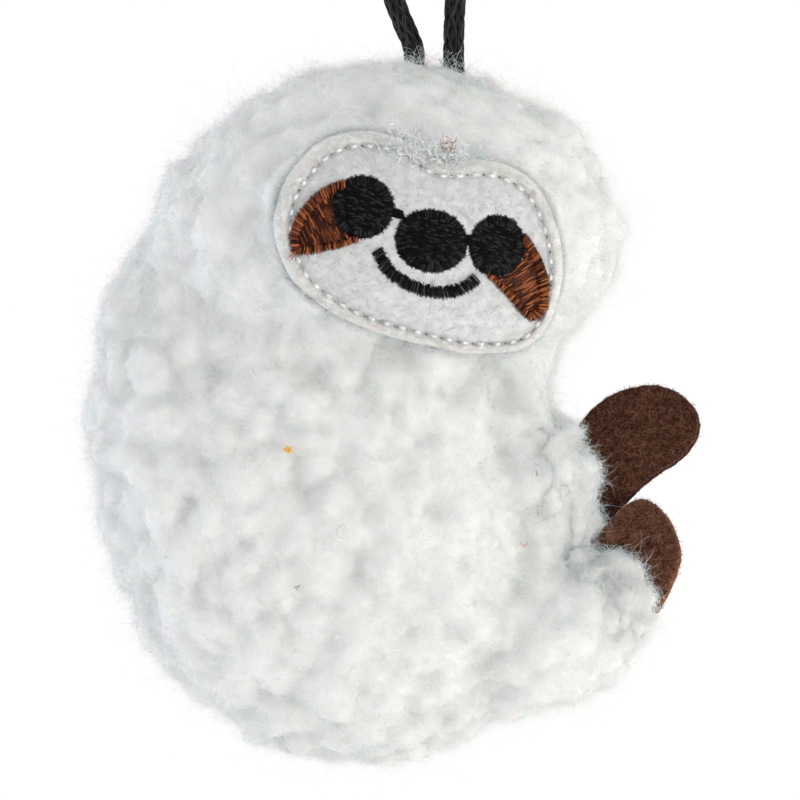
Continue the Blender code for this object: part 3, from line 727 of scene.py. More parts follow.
def skin():
    """One fleece skin over head, body, arm and leg, in tufts, pressed flat under the face."""
    random = np.random.default_rng(5)
    rough = remeshed("fleece_stretched", bulges(), voxel_mm=1.2, smoothing=10)
    widened = grown_out(outer_shell(rough.data), CORNER_MM)
    made = remeshed("fleece_skin", widened, voxel_mm=0.95, smoothing=14, levels=1)
    bpy.data.objects.remove(rough)
    grown_out(outer_shell(made.data), -CORNER_MM)
    points, _, triangles = read_mesh(made.data)
    write_points(made.data, relaxed(points, triangles, 8))
    points, normals, _ = read_mesh(made.data)
    from_seam = np.abs(points[:, 1])
    raised = tufted(points, random) * (0.5 + 0.5 * np.clip(from_seam / FULL_TUFTS_MM, 0, 1))
    offset = raised - PILE_DEPTH_MM
    for height, size in UNEVEN_MM:
        offset = offset + height * lumpy(points, size, random)
    offset = offset - FURROW_SHARE * furrowed(points, normals)
    height, size, reach = SEAM_UNEVEN_MM
    offset = offset + height * lumpy(points, size, random) * bell(from_seam, reach)
    from_dent = np.linalg.norm(points - HEAD_DENT_MM, axis=1)
    offset = offset - DENT_DEPTH_MM * bell(from_dent, DENT_REACH_MM)
    for x, z in (CORD_ROUTE_MM[0], CORD_ROUTE_MM[-1]):
        from_cord = np.linalg.norm(points - np.array([x, 0, z - COLLAR_DROP_MM]), axis=1)
        collar = bell(from_cord, COLLAR_REACH_MM)
        offset = offset * (1 - collar) + COLLAR_RISE_MM * collar
    away = near_face(points)
    height, place, reach = FACE_BANK
    offset = offset + height * bell(away - place, reach)
    place, reach = FACE_EDGE
    under_face = 1 / (1 + np.exp((away - place) / reach))
    offset = offset * (1 - under_face) - FACE_PRESS_MM * under_face
    points = relaxed(points + normals * offset[:, None], triangles, 3)
    across, _, up = ((points - HEAD_CENTRE) / HEAD_HALF).T
    deepest = -HEAD_HALF[1] * dome(across, up) + UNDER_FELT_MM
    points[:, 1] += under_face * np.maximum(deepest - points[:, 1], 0)
    write_points(made.data, points)
    dressed(made, SHERPA)
    covers = [n for n in frame["nodes"] if n.endswith(("_cover", "_filling"))]
    put(made, "plush", "white_fleece", *covers)
    return made


def roots_on(points, triangles, weight, count, random):
    """Random points on a surface, more where weight is larger, with the surface's normals there."""
    a, b, c = (points[triangles[:, k]] for k in range(3))
    cross = np.cross(b - a, c - a)
    chance = np.linalg.norm(cross, axis=1) * weight[triangles].mean(axis=1)
    picked = random.choice(len(triangles), count, p=chance / chance.sum())
    u, v = random.random((2, count, 1))
    u, v = np.where(u + v > 1, 1 - u, u), np.where(u + v > 1, 1 - v, v)
    return a[picked] + u * (b - a)[picked] + v * (c - a)[picked], unit(cross[picked])


def arc(angle, t):
    """How far ahead and aside a curve is that is one long and bends by an angle, at shares t of it."""
    return np.sin(angle * t) / angle, (1 - np.cos(angle * t)) / angle


def curls(roots, out, lengths, bends, lean, random, steps=5):
    """Fibres that leave their roots along a leaning direction and curl over by those angles."""
    count = len(roots)
    drift = unit(random.normal(size=(count, 3)))
    first = unit(out + lean[:, None] * drift)
    over = unit(np.cross(first, unit(random.normal(size=(count, 3)))))
    twist = np.cross(first, over)
    t = np.linspace(0, 1, steps)[None, :]
    forward, sideways = arc(bends[:, None], t)
    rise = CURL_RISE * t**2 * random.normal(size=(count, 1))
    path = forward[..., None] * first[:, None] + sideways[..., None] * over[:, None]
    path = path + rise[..., None] * twist[:, None]
    return roots[:, None] + lengths[:, None, None] * path


# The kinds of pile fibre: mean and longest length in mm, least and most bend in radians, radius in
# mm, and points on each. The real fibres are about 0.01 mm in radius and many times as many, too fine
# to show: fewer and thicker ones cover as much.
CURLED = (1.5, 3.0, 1.6, 4.8, 0.03, 4)
LOOSE = (2.8, 5.0, 0.7, 3.2, 0.02, 6)
FINE = (1.7, 2.8, 1.2, 4.0, 0.017, 5)
# How far under the skin they start, and how far they stray from the plane they curl in
ROOT_MM = 0.1
CURL_RISE = 0.35


def grown(name, ground, kind, count, pieces, weight, random):
    """Pieces of pile on a surface, from its top down, each small enough to handle as a mesh."""
    mean_mm, longest_mm, least, most, radius_mm, steps = kind
    count = round(count * FIBRE_SHARE)
    points, _, triangles = read_mesh(ground.data)
    roots, out = roots_on(points, triangles, weight, count, random)
    lengths = random.gamma(6.0, mean_mm / 6, count).clip(0.5 * mean_mm, longest_mm)
    lines = curls(roots - ROOT_MM * out, out, lengths, random.uniform(least, most, count),
                  random.uniform(0.3, 1.3, count), random, steps)
    thinning = 1 - 0.6 * np.linspace(0, 1, steps) ** 3
    radii = radius_mm * random.uniform(0.7, 1.2, (count, 1)) * thinning
    order = np.argsort(-roots[:, 2])
    return [
        tubes(f"{name}_{number + 1}", lines[group], radii[group], 3, [PILE_FIBRE])
        for number, group in enumerate(np.array_split(order, pieces))
    ]


def pile(ground):
    """The fleece's fibres: short curls all over, and longer, thinner ones that soften its edges."""
    random = np.random.default_rng(8)
    points, _, _ = read_mesh(ground.data)
    away = near_face(points)
    beside_rim = bell(away - PILE_BANK[0], PILE_BANK[1])
    weight = np.where(away < PILE_START, 0.0, 1.0) + 2.0 * beside_rim
    outline = bell(points[:, 1], 6)
    for name, kind, count, pieces, share in (
        ("curled_pile", CURLED, 82000, 10, weight * (1 + 0.6 * outline)),
        ("loose_pile", LOOSE, 25000, 5, weight * (1 + 3 * outline)),
        ("rim_pile", FINE, 5500, 1, np.where(away < FINE_START, 0, beside_rim)),
    ):
        for piece in grown(name, ground, kind, count, pieces, share, random):
            put(piece, "plush", "white_fleece")


def stray_hairs(ground):
    """A few long fibres that have worked loose."""
    random = np.random.default_rng(12)
    count, steps = 420, 12
    points, _, triangles = read_mesh(ground.data)
    weight = np.where(near_face(points) < HAIR_START, 0.0, 1.0)
    roots, out = roots_on(points, triangles, weight, count, random)
    lengths = random.gamma(5.0, 1.0, count).clip(2.5, 9.0)
    lines = curls(roots - ROOT_MM * out, out, lengths, random.uniform(0.4, 2.2, count),
                  random.uniform(0.5, 2.5, count), random, steps)
    radii = 0.02 * np.linspace(1, 0.5, steps)[None]
    put(tubes("stray_hairs", lines, radii, 3, [COOL_FIBRE]), "plush", "white_fleece")


# The face


def on_head(places_px, lift_mm):
    """The points that height above the head's front, where the camera sees them at those pixels."""
    y = -HEAD_HALF[1]
    for _ in range(6):
        half = HEAD_HALF + np.asarray(lift_mm)[..., None]
        share = (seen_at(places_px, y) - HEAD_CENTRE) / half
        y = -(HEAD_HALF[1] + lift_mm) * dome(share[..., 0], share[..., 2])
    return seen_at(places_px, y)


# How the felt stands over its edge and its stitches: mm out from the stitches, mm above the head
RIM_PROFILE_MM = [
    (1.9, -0.4), (2.3, 0.0), (2.42, 0.5), (2.36, 0.95), (2.12, 1.32), (1.75, 1.6), (1.3, 1.74),
    (0.9, 1.72), (0.55, 1.54), (0.25, 1.22), (0.0, 1.05), (-0.22, 1.18), (-0.5, 1.33),
    (-0.9, 1.41), (-1.5, 1.43), (-2.3, 1.44),
]
# The rings of the felt's underside and of its flat middle, as shares of the way out from the middle
UNDER_SHARES = (0.15, 0.5, 0.85)
INSIDE_SHARES = (0.9, 0.75, 0.58, 0.4, 0.2, 0.08)


def face_felt():
    """The felt face: a soft rim outside its stitches, a groove along them and flat felt inside."""
    random = np.random.default_rng(3)
    columns = STITCHES * STITCH_COLUMNS
    loop = evenly(smooth_line(STITCH_ROUTE_PX, 12, closed=True), columns, closed=True)
    out = outward(loop)
    middle = np.array(FACE_MIDDLE_PX, float)
    gap = (np.arange(columns) / STITCH_COLUMNS - HOLE_SHARE + 0.5) % 1 - 0.5
    wander = np.convolve(np.tile(random.normal(size=columns), 3), np.hanning(30) / 15, "same")
    wander = wander[columns : 2 * columns]
    places = [middle + (loop - middle) * share for share in UNDER_SHARES]
    heights = [np.full(columns, 0.05)] * len(UNDER_SHARES)
    for offset, height in RIM_PROFILE_MM:
        reach = offset * (1 + 0.16 * wander * (offset > 0.5))
        if offset > 0.2:
            reach = reach * rim_share(out)
        dent = 0.4 * bell(offset, 0.3) * bell(gap, 0.15)
        puff = 0.06 * bell(offset - 1.1, 0.7) * np.cos(2 * np.pi * gap)
        places.append(loop + out * reach[:, None] * PX_PER_MM)
        heights.append(height - 0.1 - dent - puff)
    last = loop + out * RIM_PROFILE_MM[-1][0] * PX_PER_MM
    places += [middle + (last - middle) * share for share in INSIDE_SHARES]
    heights += [np.full(columns, FELT_TOP_MM)] * len(INSIDE_SHARES)
    places = np.array(places)
    rough = 0.06 * lumpy(seen_at(places).reshape(-1, 3), 1.5, random).reshape(len(places), columns)
    groove = len(UNDER_SHARES) + [offset for offset, _ in RIM_PROFILE_MM].index(0.0)
    rough[: len(UNDER_SHARES) + 1] = 0
    rough[groove:] *= 0.4
    rings = on_head(places, np.array(heights) + rough)
    felt = from_rings("face_felt_with_rim", rings, [WHITE_FELT, RIM_FELT])
    faces = np.zeros(len(felt.data.polygons), np.int32)
    faces[: columns * (groove - 1)] = 1
    felt.data.polygons.foreach_set("material_index", faces)
    put(felt, "plush", "white_felt", "face_felt")
    edge = loop + out * 2.2 * PX_PER_MM
    width, height = (edge.max(axis=0) - edge.min(axis=0)) / PX_PER_MM * MM
    return loop


def on_loop(loop, at):
    """The places on a closed loop at those point numbers, whole or between."""
    shut = np.vstack([loop, loop[:1]])
    return np.stack([np.interp(at, np.arange(len(shut)), shut[:, k]) for k in (0, 1)], axis=1)


def running_stitch(loop):
    """Stitches of two-ply thread that sit in the groove and dive into the felt at their ends."""
    lines = []
    steps = 8
    t = np.linspace(0, 1, steps)
    for stitch in range(STITCHES):
        at = stitch * STITCH_COLUMNS + np.linspace(0.2, 0.58, steps) * STITCH_COLUMNS
        px = on_loop(loop, at)
        rise = np.sin(np.pi * t)
        ahead = unit(px[-1:] - px[:1])
        aside = np.array([[-ahead[0, 1], ahead[0, 0]]])
        for ply in (0, np.pi):
            twist = ply + 2.6 * np.pi * t + stitch
            place = px + aside * (0.1 * PX_PER_MM * np.cos(twist))[:, None]
            lines.append(on_head(place, 0.9 + 0.5 * rise + 0.1 * np.sin(twist)))
    radii = 0.2 * np.array([0.7, 0.95, 1, 1, 1, 1, 0.95, 0.7])
    threads = tubes("face_running_stitch", np.array(lines), radii, 6, [WHITE_THREAD])
    put(threads, "plush", "white_thread", "face_stitches")
    # Grey capsules sunk where the needle went through: painted shade for the shadow inside each hole
    holes = []
    for stitch in range(STITCHES):
        at = (stitch + HOLE_SHARE + np.linspace(-0.1, 0.1, 5)) * STITCH_COLUMNS % len(loop)
        rise = np.sin(np.pi * np.linspace(0, 1, 5))
        holes.append(on_head(on_loop(loop, at), 0.62 + 0.08 * rise))
    radii = 0.17 * np.array([0.5, 0.9, 1, 0.9, 0.5])
    holes = tubes("face_needle_hole_shade", np.array(holes), radii, 6, [NEEDLE_HOLE_SHADE])
    put(holes, "plush", "white_felt")


def stitched(name, starts, ends, lift_mm, rise_mm, threads, chances, slot, nodes, random,
             radius_mm=THREAD_RADIUS_MM):
    """Satin stitches: threads laid from start to end, arched that far above the felt's top and sunk
    into it at both ends."""
    count = len(starts)
    t = np.linspace(0, 1, 7)[None, :, None]
    bow = random.normal(0, 0.05 * PX_PER_MM, (count, 1, 2)) * np.sin(np.pi * t)
    path = starts[:, None] * (1 - t) + ends[:, None] * t + bow
    arch = np.sin(np.pi * t[..., 0]) ** 0.6
    rise = (rise_mm + random.normal(0, 0.05, (count, 1))) * arch
    lines = on_head(path, np.asarray(FELT_TOP_MM + lift_mm).reshape(-1, 1) + rise)
    taper = np.array([0.55, 0.9, 1, 1, 1, 0.9, 0.5])
    radii = radius_mm * taper * random.uniform(0.85, 1.15, (count, 1))
    which = random.choice(len(threads), count, p=chances)
    put(tubes(name, lines, radii, 6, threads, which), "plush", slot, *nodes)


def ellipse_px(middle, half_width, half_height, turn, count, grow=0.0):
    turns = 2 * np.pi * np.arange(count) / count
    x = (half_width + grow) * np.cos(turns)
    y = (half_height + grow) * np.sin(turns)
    c, s = math.cos(turn), math.sin(turn)
    return np.array(middle) + np.stack([c * x - s * y, s * x + c * y], axis=1)


def rows_across(outline, angle, pitch_px, longest_px, random):
    """Stitches in parallel rows across a closed outline, each row broken into lengths."""
    c, s = math.cos(angle), math.sin(angle)
    local = outline @ np.array([[c, -s], [s, c]])
    starts, ends = [], []
    for row in np.arange(local[:, 1].min() + pitch_px / 2, local[:, 1].max(), pitch_px):
        after = np.roll(local, -1, axis=0)
        crossed = (local[:, 1] - row) * (after[:, 1] - row) < 0
        a, b = local[crossed], after[crossed]
        hits = np.sort(a[:, 0] + (row - a[:, 1]) / (b[:, 1] - a[:, 1]) * (b[:, 0] - a[:, 0]))
        for left, right in zip(hits[::2], hits[1::2]):
            at = left - random.uniform(0, 0.6) * longest_px
            while at < right:
                end = at + longest_px * random.uniform(0.75, 1.15)
                if min(end, right) - max(at, left) > 2:
                    starts.append((max(at, left), row + random.normal(0, 0.3)))
                    ends.append((min(end, right), row + random.normal(0, 0.3)))
                at = end
    back = np.array([[c, s], [-s, c]])
    return np.array(starts) @ back, np.array(ends) @ back


# How much of an eye's or the nose's width its rows reach across, inside the ring of stitches
ROWS_SHARE = 0.74
# Each eye and the nose: middle, half width, half height, tilt, the slant of its rows and the seed
ROUNDS_PX = {
    "left_eye": ((362.5, 207), 32, 32, 0.0, 0.35, 21),
    "nose": ((431.5, 241), 37, 32, 0.2, 0.3, 22),
    "right_eye": ((497, 246), 28.5, 31.5, 0.1, 0.35, 23),
}
# The eye patches: outline, satin border, the lengths of its stitches along it, the slant of the rows,
# the shares of the plain, lit and shaded threads in them, and the seed. The left patch's rows have
# more shaded thread and the right's more lit thread: painted shade and painted light for light from
# the lower right
PATCHES_PX = {
    "left_eye_patch": (
        [(343, 180), (330, 185), (317, 193), (305, 205), (295, 219), (290, 233), (290, 245),
         (294, 254), (308, 253), (326, 250), (344, 246), (358, 240), (345, 232), (336, 215),
         (336, 197)],
        [(345, 180), (330, 184), (315, 193), (303, 206), (294, 220), (290, 234), (291, 247),
         (297, 254), (310, 254), (327, 251), (344, 247), (358, 242)],
        [9, 11, 11, 10, 8, 8, 7, 6], 1.13, [0.5, 0.2, 0.3], 24,
    ),
    "right_eye_patch": (
        [(522, 232), (531, 240), (541, 256), (548, 275), (550, 292), (547, 308), (539, 319),
         (529, 320), (519, 311), (505, 294), (488, 277), (502, 277), (517, 266), (526, 250)],
        [(526, 234), (538, 252), (546, 272), (550, 291), (548, 307), (541, 318), (531, 321),
         (520, 312), (504, 293), (487, 276)],
        [7, 10, 11, 10, 9, 8, 7, 5], -0.6, [0.45, 0.33, 0.22], 25,
    ),
}
EMBROIDERED_PX = [
    *(patch[0] for patch in PATCHES_PX.values()),
    *(ellipse_px(*row[:4], 40, 3.0) for row in ROUNDS_PX.values()),
]


def underlay(name, outline, height_mm, material, slot):
    """The padding stitches under satin stitch, as one low mound."""
    middle = outline.mean(axis=0)
    rings = [
        on_head(middle + (outline - middle) * share, np.full(len(outline), FELT_TOP_MM + height))
        for share, height in (
            (0.2, -0.3), (0.9, -0.3), (0.97, -0.1), (0.96, 0.4 * height_mm),
            (0.88, 0.8 * height_mm), (0.7, height_mm), (0.4, 1.05 * height_mm),
            (0.1, 1.08 * height_mm),
        )
    ]
    put(from_rings(name, np.array(rings), [material]), "plush", slot)


def black_round(name, middle, half_width, half_height, turn, fill_angle, seed):
    """An eye or the nose: a mound, a spiky ring of stitches round it and slanting rows across it."""
    random = np.random.default_rng(seed)
    mound = ellipse_px(middle, half_width, half_height, turn, 64)
    underlay(f"{name}_underlay", mound, 0.45, BLACK_THREAD, "black_embroidery")
    count = round(math.pi * (half_width + half_height) / THREAD_PITCH_PX)
    rim = ellipse_px(middle, half_width, half_height, turn, count)
    out = unit(rim - np.array(middle, float))
    spike = random.uniform(-1.2, 1.6, (count, 1))
    depth = random.uniform(9, 19, (count, 1))
    inner = ellipse_px(middle, half_width * ROWS_SHARE, half_height * ROWS_SHARE, turn, 40)
    rows = rows_across(inner, fill_angle, THREAD_PITCH_PX, 9, random)
    rows = [ends + random.normal(0, 0.7, ends.shape) for ends in rows]
    starts, ends = np.vstack([rim + out * spike, rows[0]]), np.vstack([rim - out * depth, rows[1]])
    lift = np.concatenate([np.full(count, -0.05), np.full(len(rows[0]), 0.14)])
    stitched(f"{name}_satin_stitch", starts, ends, lift, 0.42, [BLACK_THREAD, BLACK_GLINT],
             [0.6, 0.4], "black_embroidery", [name], random)


def brown_patch(name, outline_px, border_px, widths_px, fill_angle, row_chances, seed):
    """An eye patch: slanting rows inside, and a satin border along its free edges."""
    random = np.random.default_rng(seed)
    outline = smooth_line(outline_px, 6, closed=True)
    mound = evenly(outline, 60, closed=True)
    # The mound takes the shaded thread's colour: painted shade in the gaps between the threads
    underlay(f"{name}_underlay", mound, 0.15, BROWN_SHADED_THREAD, "brown_embroidery")
    rows = rows_across(outline, fill_angle, 1.8, 21, random)
    line = smooth_line(border_px, 8)
    border = evenly(line, round(line_length(line) / 1.7))
    count = len(border)
    ahead = unit(np.gradient(border, axis=0))
    inward = np.stack([ahead[:, 1], -ahead[:, 0]], axis=1)
    inward *= np.sign(((outline.mean(axis=0) - border) * inward).sum())
    width = np.interp(np.linspace(0, 1, count), np.linspace(0, 1, len(widths_px)), widths_px)
    width = width[:, None]
    starts = border - inward * random.uniform(-0.5, 1.4, (count, 1))
    ends = border + inward * width * random.uniform(0.85, 1.15, (count, 1)) + 0.2 * width * ahead
    threads = [BROWN_THREAD, BROWN_GLINT, BROWN_SHADED_THREAD]
    stitched(f"{name}_rows", *rows, -0.1, 0.28, threads, row_chances, "brown_embroidery", [name],
             random)
    # The border's lit threads are painted highlight along its raised ridge
    stitched(f"{name}_border", starts, ends, 0.1, 0.6, threads, [0.5, 0.32, 0.18],
             "brown_embroidery", [], random)


def loose_end():
    """The end of an orange-brown thread that sticks out of the left patch's lowest corner."""
    random = np.random.default_rng(29)
    starts, ends = np.array([(298, 249), (297, 251)]), np.array([(289, 257), (291, 260)])
    # The loose end is all lit thread: its orange is partly the thread's own colour and partly painted
    # highlight
    stitched("loose_thread_end", starts, ends, 0.2, 0.5, [BROWN_GLINT], [1.0], "brown_embroidery",
             [], random, radius_mm=0.09)


SMILE_ROUTE_PX = [(378, 250), (386, 267), (401, 280), (420, 289), (440, 293), (460, 289), (477, 279)]
SMILE_WIDTH_PX = 12.5


def smile():
    """The smile: satin stitches laid across its line, uneven at their ends."""
    random = np.random.default_rng(31)
    line = smooth_line(SMILE_ROUTE_PX, 12)
    middle = evenly(line, round(line_length(line) / 1.4))
    ahead = unit(np.gradient(middle, axis=0))
    across = np.stack([-ahead[:, 1], ahead[:, 0]], axis=1) + 0.18 * ahead
    half = SMILE_WIDTH_PX / 2 + random.uniform(-1.2, 1.5, (len(middle), 2))
    starts, ends = middle + across * half[:, :1], middle - across * half[:, 1:]
    stitched("smile_satin_stitch", starts, ends, -0.05, 0.5, [BLACK_THREAD, BLACK_GLINT],
             [0.8, 0.2], "black_embroidery", ["smile"], random)
    left = np.linspace((389, 208), (391, 216), 7)
    right = np.linspace((462, 236), (464, 245), 7)
    starts, ends = np.vstack([left, right]), np.vstack([left + (15, 4), right + (15, 0)])
    stitched("eye_links", starts, ends, 0.0, 0.35, [BLACK_THREAD], [1.0], "black_embroidery", [],
             random)


def inside(outline, points):
    """Which 2D points lie inside a closed outline."""
    x, y = points[:, None, 0], points[:, None, 1]
    ax, ay = outline[None, :, 0], outline[None, :, 1]
    bx, by = np.roll(outline, -1, axis=0).T[:, None, :]
    crossed = ((ay > y) != (by > y)) & (x < (bx - ax) * (y - ay) / (by - ay + 1e-12) + ax)
    return crossed.sum(axis=1) % 2 == 1


# How a fibre that lies flat on felt thins towards its ends
FLAT_TAPER = np.array([0.7, 1, 1, 1, 0.9, 0.5])


def flat_fibres(roots, way, lengths, bends, lift, random):
    """Fibres that lie on an upright surface, curve in it and lift a little off it. way is -1 where
    the surface faces the front."""
    heading = random.uniform(0, 2 * np.pi, len(roots))
    t = np.linspace(0, 1, len(FLAT_TAPER))[None, :]
    forward, sideways = arc(bends[:, None], t)
    c, s = np.cos(heading)[:, None], np.sin(heading)[:, None]
    x = lengths[:, None] * (c * forward - s * sideways)
    z = lengths[:, None] * (s * forward + c * sideways)
    y = way * lift[:, None] * np.sin(np.pi * (0.1 + 0.8 * t))
    return roots[:, None] + np.stack([x, y, z], axis=-1)


def face_fibres(loop):
    """Fine fibres of the face felt, and then what lies snipped above its dip."""
    random = np.random.default_rng(17)
    spots = random.uniform(loop.min(axis=0), loop.max(axis=0), (5200, 2))
    spots = spots[inside(loop, spots)]
    bare = np.zeros(len(spots), bool)
    for outline in EMBROIDERED_PX:
        bare |= inside(np.array(outline, float), spots) & (random.random(len(spots)) > 0.004)
    spots = spots[~bare]
    rim_count = 3200
    at = random.integers(0, len(loop), rim_count)
    offset = random.uniform(0.15, 2.3, rim_count)
    out = outward(loop)
    rim = loop[at] + out[at] * (offset * rim_share(out[at]) * PX_PER_MM)[:, None]
    profile = np.array(RIM_PROFILE_MM[3:11][::-1])
    rim_heights = np.interp(offset, *profile.T) - 0.08
    heights = np.concatenate([np.full(len(spots), FELT_TOP_MM + 0.02), rim_heights])
    roots = on_head(np.vstack([spots, rim]), heights)
    total = len(roots)
    looser = np.where(np.arange(total) >= len(spots), 2.2, 1.0)
    lines = flat_fibres(roots, -1, random.uniform(0.5, 1.7, total), random.uniform(0.3, 3.0, total),
                        random.uniform(0.03, 0.2, total) * looser, random)
    radii = random.uniform(0.016, 0.028, (total, 1)) * FLAT_TAPER
    put(tubes("face_felt_fibres", lines, radii, 3, [FELT_FIBRE]), "plush", "white_felt")
    snipped_ends(random)


def snipped_ends(random):
    """The ends of pile and of sewing thread that lie matted above the felt's dip."""
    count = 620
    middle = random.normal((426, 152), (27, 9), (count, 2))
    middle[:, 1] -= 8 * np.clip((middle[:, 0] - 424) / -50, -0.3, 1)
    spots = on_head(middle, random.uniform(0.6, 2.1, count))
    out = unit(np.tile([0.0, -1.0, 0.1], (count, 1)))
    lines = curls(spots, out, random.uniform(0.5, 1.9, count), random.uniform(0.8, 4.0, count),
                  random.uniform(1.6, 4.0, count), random)
    radii = random.uniform(0.025, 0.05, (count, 1)) * np.array([0.9, 1, 1, 0.95, 0.8])
    which = random.integers(0, 2, count)
    snipped = tubes("snipped_ends", lines, radii, 4, [PILE_FIBRE, COOL_FIBRE], which)
    put(snipped, "plush", "white_fleece")
    count = 26
    middle = np.stack([random.uniform(388, 470, count), random.normal(0, 6.5, count)], axis=1)
    middle[:, 1] += np.interp(middle[:, 0], (388, 432, 470), (134, 156, 163))
    spots = on_head(middle, random.uniform(1.7, 2.6, count))
    out = unit(random.normal(size=(count, 3)) * (1, 0.4, 1))
    lines = curls(spots, out, random.uniform(0.5, 1.1, count), random.uniform(0.8, 3.0, count),
                  np.full(count, 0.3), random)
    radii = random.uniform(0.05, 0.09, (count, 1)) * np.array([0.6, 1, 1, 1, 0.7])
    put(tubes("snipped_thread", lines, radii, 6, [WHITE_THREAD]), "plush", "white_thread")


# Lint: name, place, reach in mm, fibres, longest fibre in mm, radius in mm and colour
LINT_PX = [
    ("yellow_lint", (288, 450), 0.14, 24, 0.8, 0.06, "#F4C24C"),
    ("rust_lint", (447, 146), 0.5, 34, 1.9, 0.032, "#A8603A"),
    ("tan_lint", (525, 545), 0.2, 10, 0.8, 0.025, "#D9A878"),
    ("dark_lint", (298, 587), 0.12, 8, 0.5, 0.03, "#6E6458"),
    ("grey_hair_high", (255, 370), 0.3, 1, 3.4, 0.016, "#6A6A70"),
    ("grey_hair_low", (345, 540), 0.3, 1, 4.2, 0.016, "#6A6A70"),
]


def lint(ground):
    """Coloured fluff and two hairs that cling to the fleece."""
    random = np.random.default_rng(61)
    surface = surface_of(ground)
    for name, place_px, reach_mm, count, longest_mm, radius_mm, colour in LINT_PX:
        hit = np.array(surface.ray_cast(EYE_MM, unit(seen_at(place_px) - EYE_MM))[0])
        roots = hit + random.normal(0, reach_mm, (count, 3)) * (1, 0.2, 1) - (0, 1.1, 0)
        lines = curls(roots, unit(random.normal(size=(count, 3)) * (1, 0.3, 1)),
                      random.uniform(0.5, 1.0, count) * longest_mm,
                      random.uniform(0.5, 3.5, count), np.full(count, 0.2), random, steps=10)
        put(tubes(name, lines, radius_mm, 4, [fibre(name, colour)]), "plush", "white_fleece")


# The paws


UPPER_PAW_PX = [
    (580, 424), (599, 403), (620, 391), (638, 386.5), (654, 385), (670, 389), (684, 397),
    (694, 408), (698, 421), (696, 435), (688, 449), (675, 461), (655, 474), (640, 486),
    (626, 500), (612, 514), (602, 522), (592, 515), (582, 480), (572, 446),
]
LOWER_PAW_PX = [
    (590, 548), (601, 531), (615, 515), (629, 503), (643, 499), (656, 505), (667, 517),
    (674, 531), (679, 548), (678, 564), (672, 581), (663, 599), (655, 611), (643, 606),
    (618, 582), (596, 562),
]


def filled(outline, step_px, random):
    """Triangles that fill a closed 2D outline with scattered points: the points and the triangles."""
    low, high = outline.min(axis=0), outline.max(axis=0)
    across = np.arange(low[0], high[0], step_px)
    down = np.arange(low[1], high[1], step_px)
    grid = np.stack(np.meshgrid(across, down), axis=-1).reshape(-1, 2)
    grid = grid + random.uniform(-0.3, 0.3, grid.shape) * step_px
    grid = grid[inside(outline, grid)]
    points = np.vstack([outline, grid[gap_to(outline, grid) > 0.6 * step_px]])
    edges = [(k, (k + 1) % len(outline)) for k in range(len(outline))]
    found = delaunay_2d_cdt([Vector(p) for p in points], edges, [], 1, 1e-6)
    return np.array([tuple(p) for p in found[0]]), np.array(found[2])


# A felt layer's cut edge, from its sewn side to its outer side: mm in from the outline, mm of height
FELT_EDGE_MM = [(0.12, 0.0), (0.0, 0.15), (0.0, 0.8), (0.07, 1.0), (0.22, 1.12), (0.45, 1.17)]


def felt_height(from_edge_mm):
    """How high a felt paw's outer side lies, rounded off towards its cut edge."""
    return FELT_EDGE_MM[-1][1] + 0.3 * (1 - np.exp(-from_edge_mm / 1.5))


def felt_layer(name, outline_px, y_mm, way, material, body, node, random):
    """A cut piece of felt with soft edges. way is -1 where its outer side faces the front."""
    count = 200
    loop = evenly(smooth_line(outline_px, 10, closed=True), count, closed=True)
    out = outward(loop)
    nap = np.convolve(np.tile(random.normal(size=count), 3), np.hanning(5) / 2.5, "same")
    nap = nap[count : 2 * count]
    rings, places = [], []
    for inset, height in FELT_EDGE_MM:
        rings.append(loop - out * (inset * PX_PER_MM + 0.4 * nap)[:, None])
        places.append(seen_at(rings[-1], np.full(count, y_mm + way * height)))
    index = np.arange(count * len(rings)).reshape(len(rings), count)
    triangles, total = [], index.size
    for ring, row, outer in ((rings[-1], index[-1], True), (rings[0], index[0], False)):
        flat, faces = filled(ring, 2.2 if outer else 8.0, random)
        new = flat[count:]
        relief = 0.07 * lumpy(np.pad(new, ((0, 0), (0, 1))) / PX_PER_MM, 1.6, random)
        height = felt_height(gap_to(loop, new) / PX_PER_MM) + relief if outer else np.zeros(len(new))
        places.append(seen_at(new, y_mm + way * height))
        corners = np.concatenate([row, total + np.arange(len(new))])[faces]
        total += len(new)
        a, b, c = (flat[faces[:, k]] for k in range(3))
        turn = (b - a)[:, 0] * (c - a)[:, 1] - (b - a)[:, 1] * (c - a)[:, 0]
        backwards = (turn < 0) != (outer == (way > 0))
        corners[backwards] = corners[backwards][:, ::-1]
        triangles.append(corners)
    faces = [ring_quads(index), np.concatenate(triangles)]
    piece = mesh_piece(name, np.vstack(places), faces, [material])
    shell = bmesh.new()
    shell.from_mesh(piece.data)
    bmesh.ops.recalc_face_normals(shell, faces=shell.faces)
    shell.to_mesh(piece.data)
    shell.free()
    put(piece, body, "brown_felt", node)
    return loop


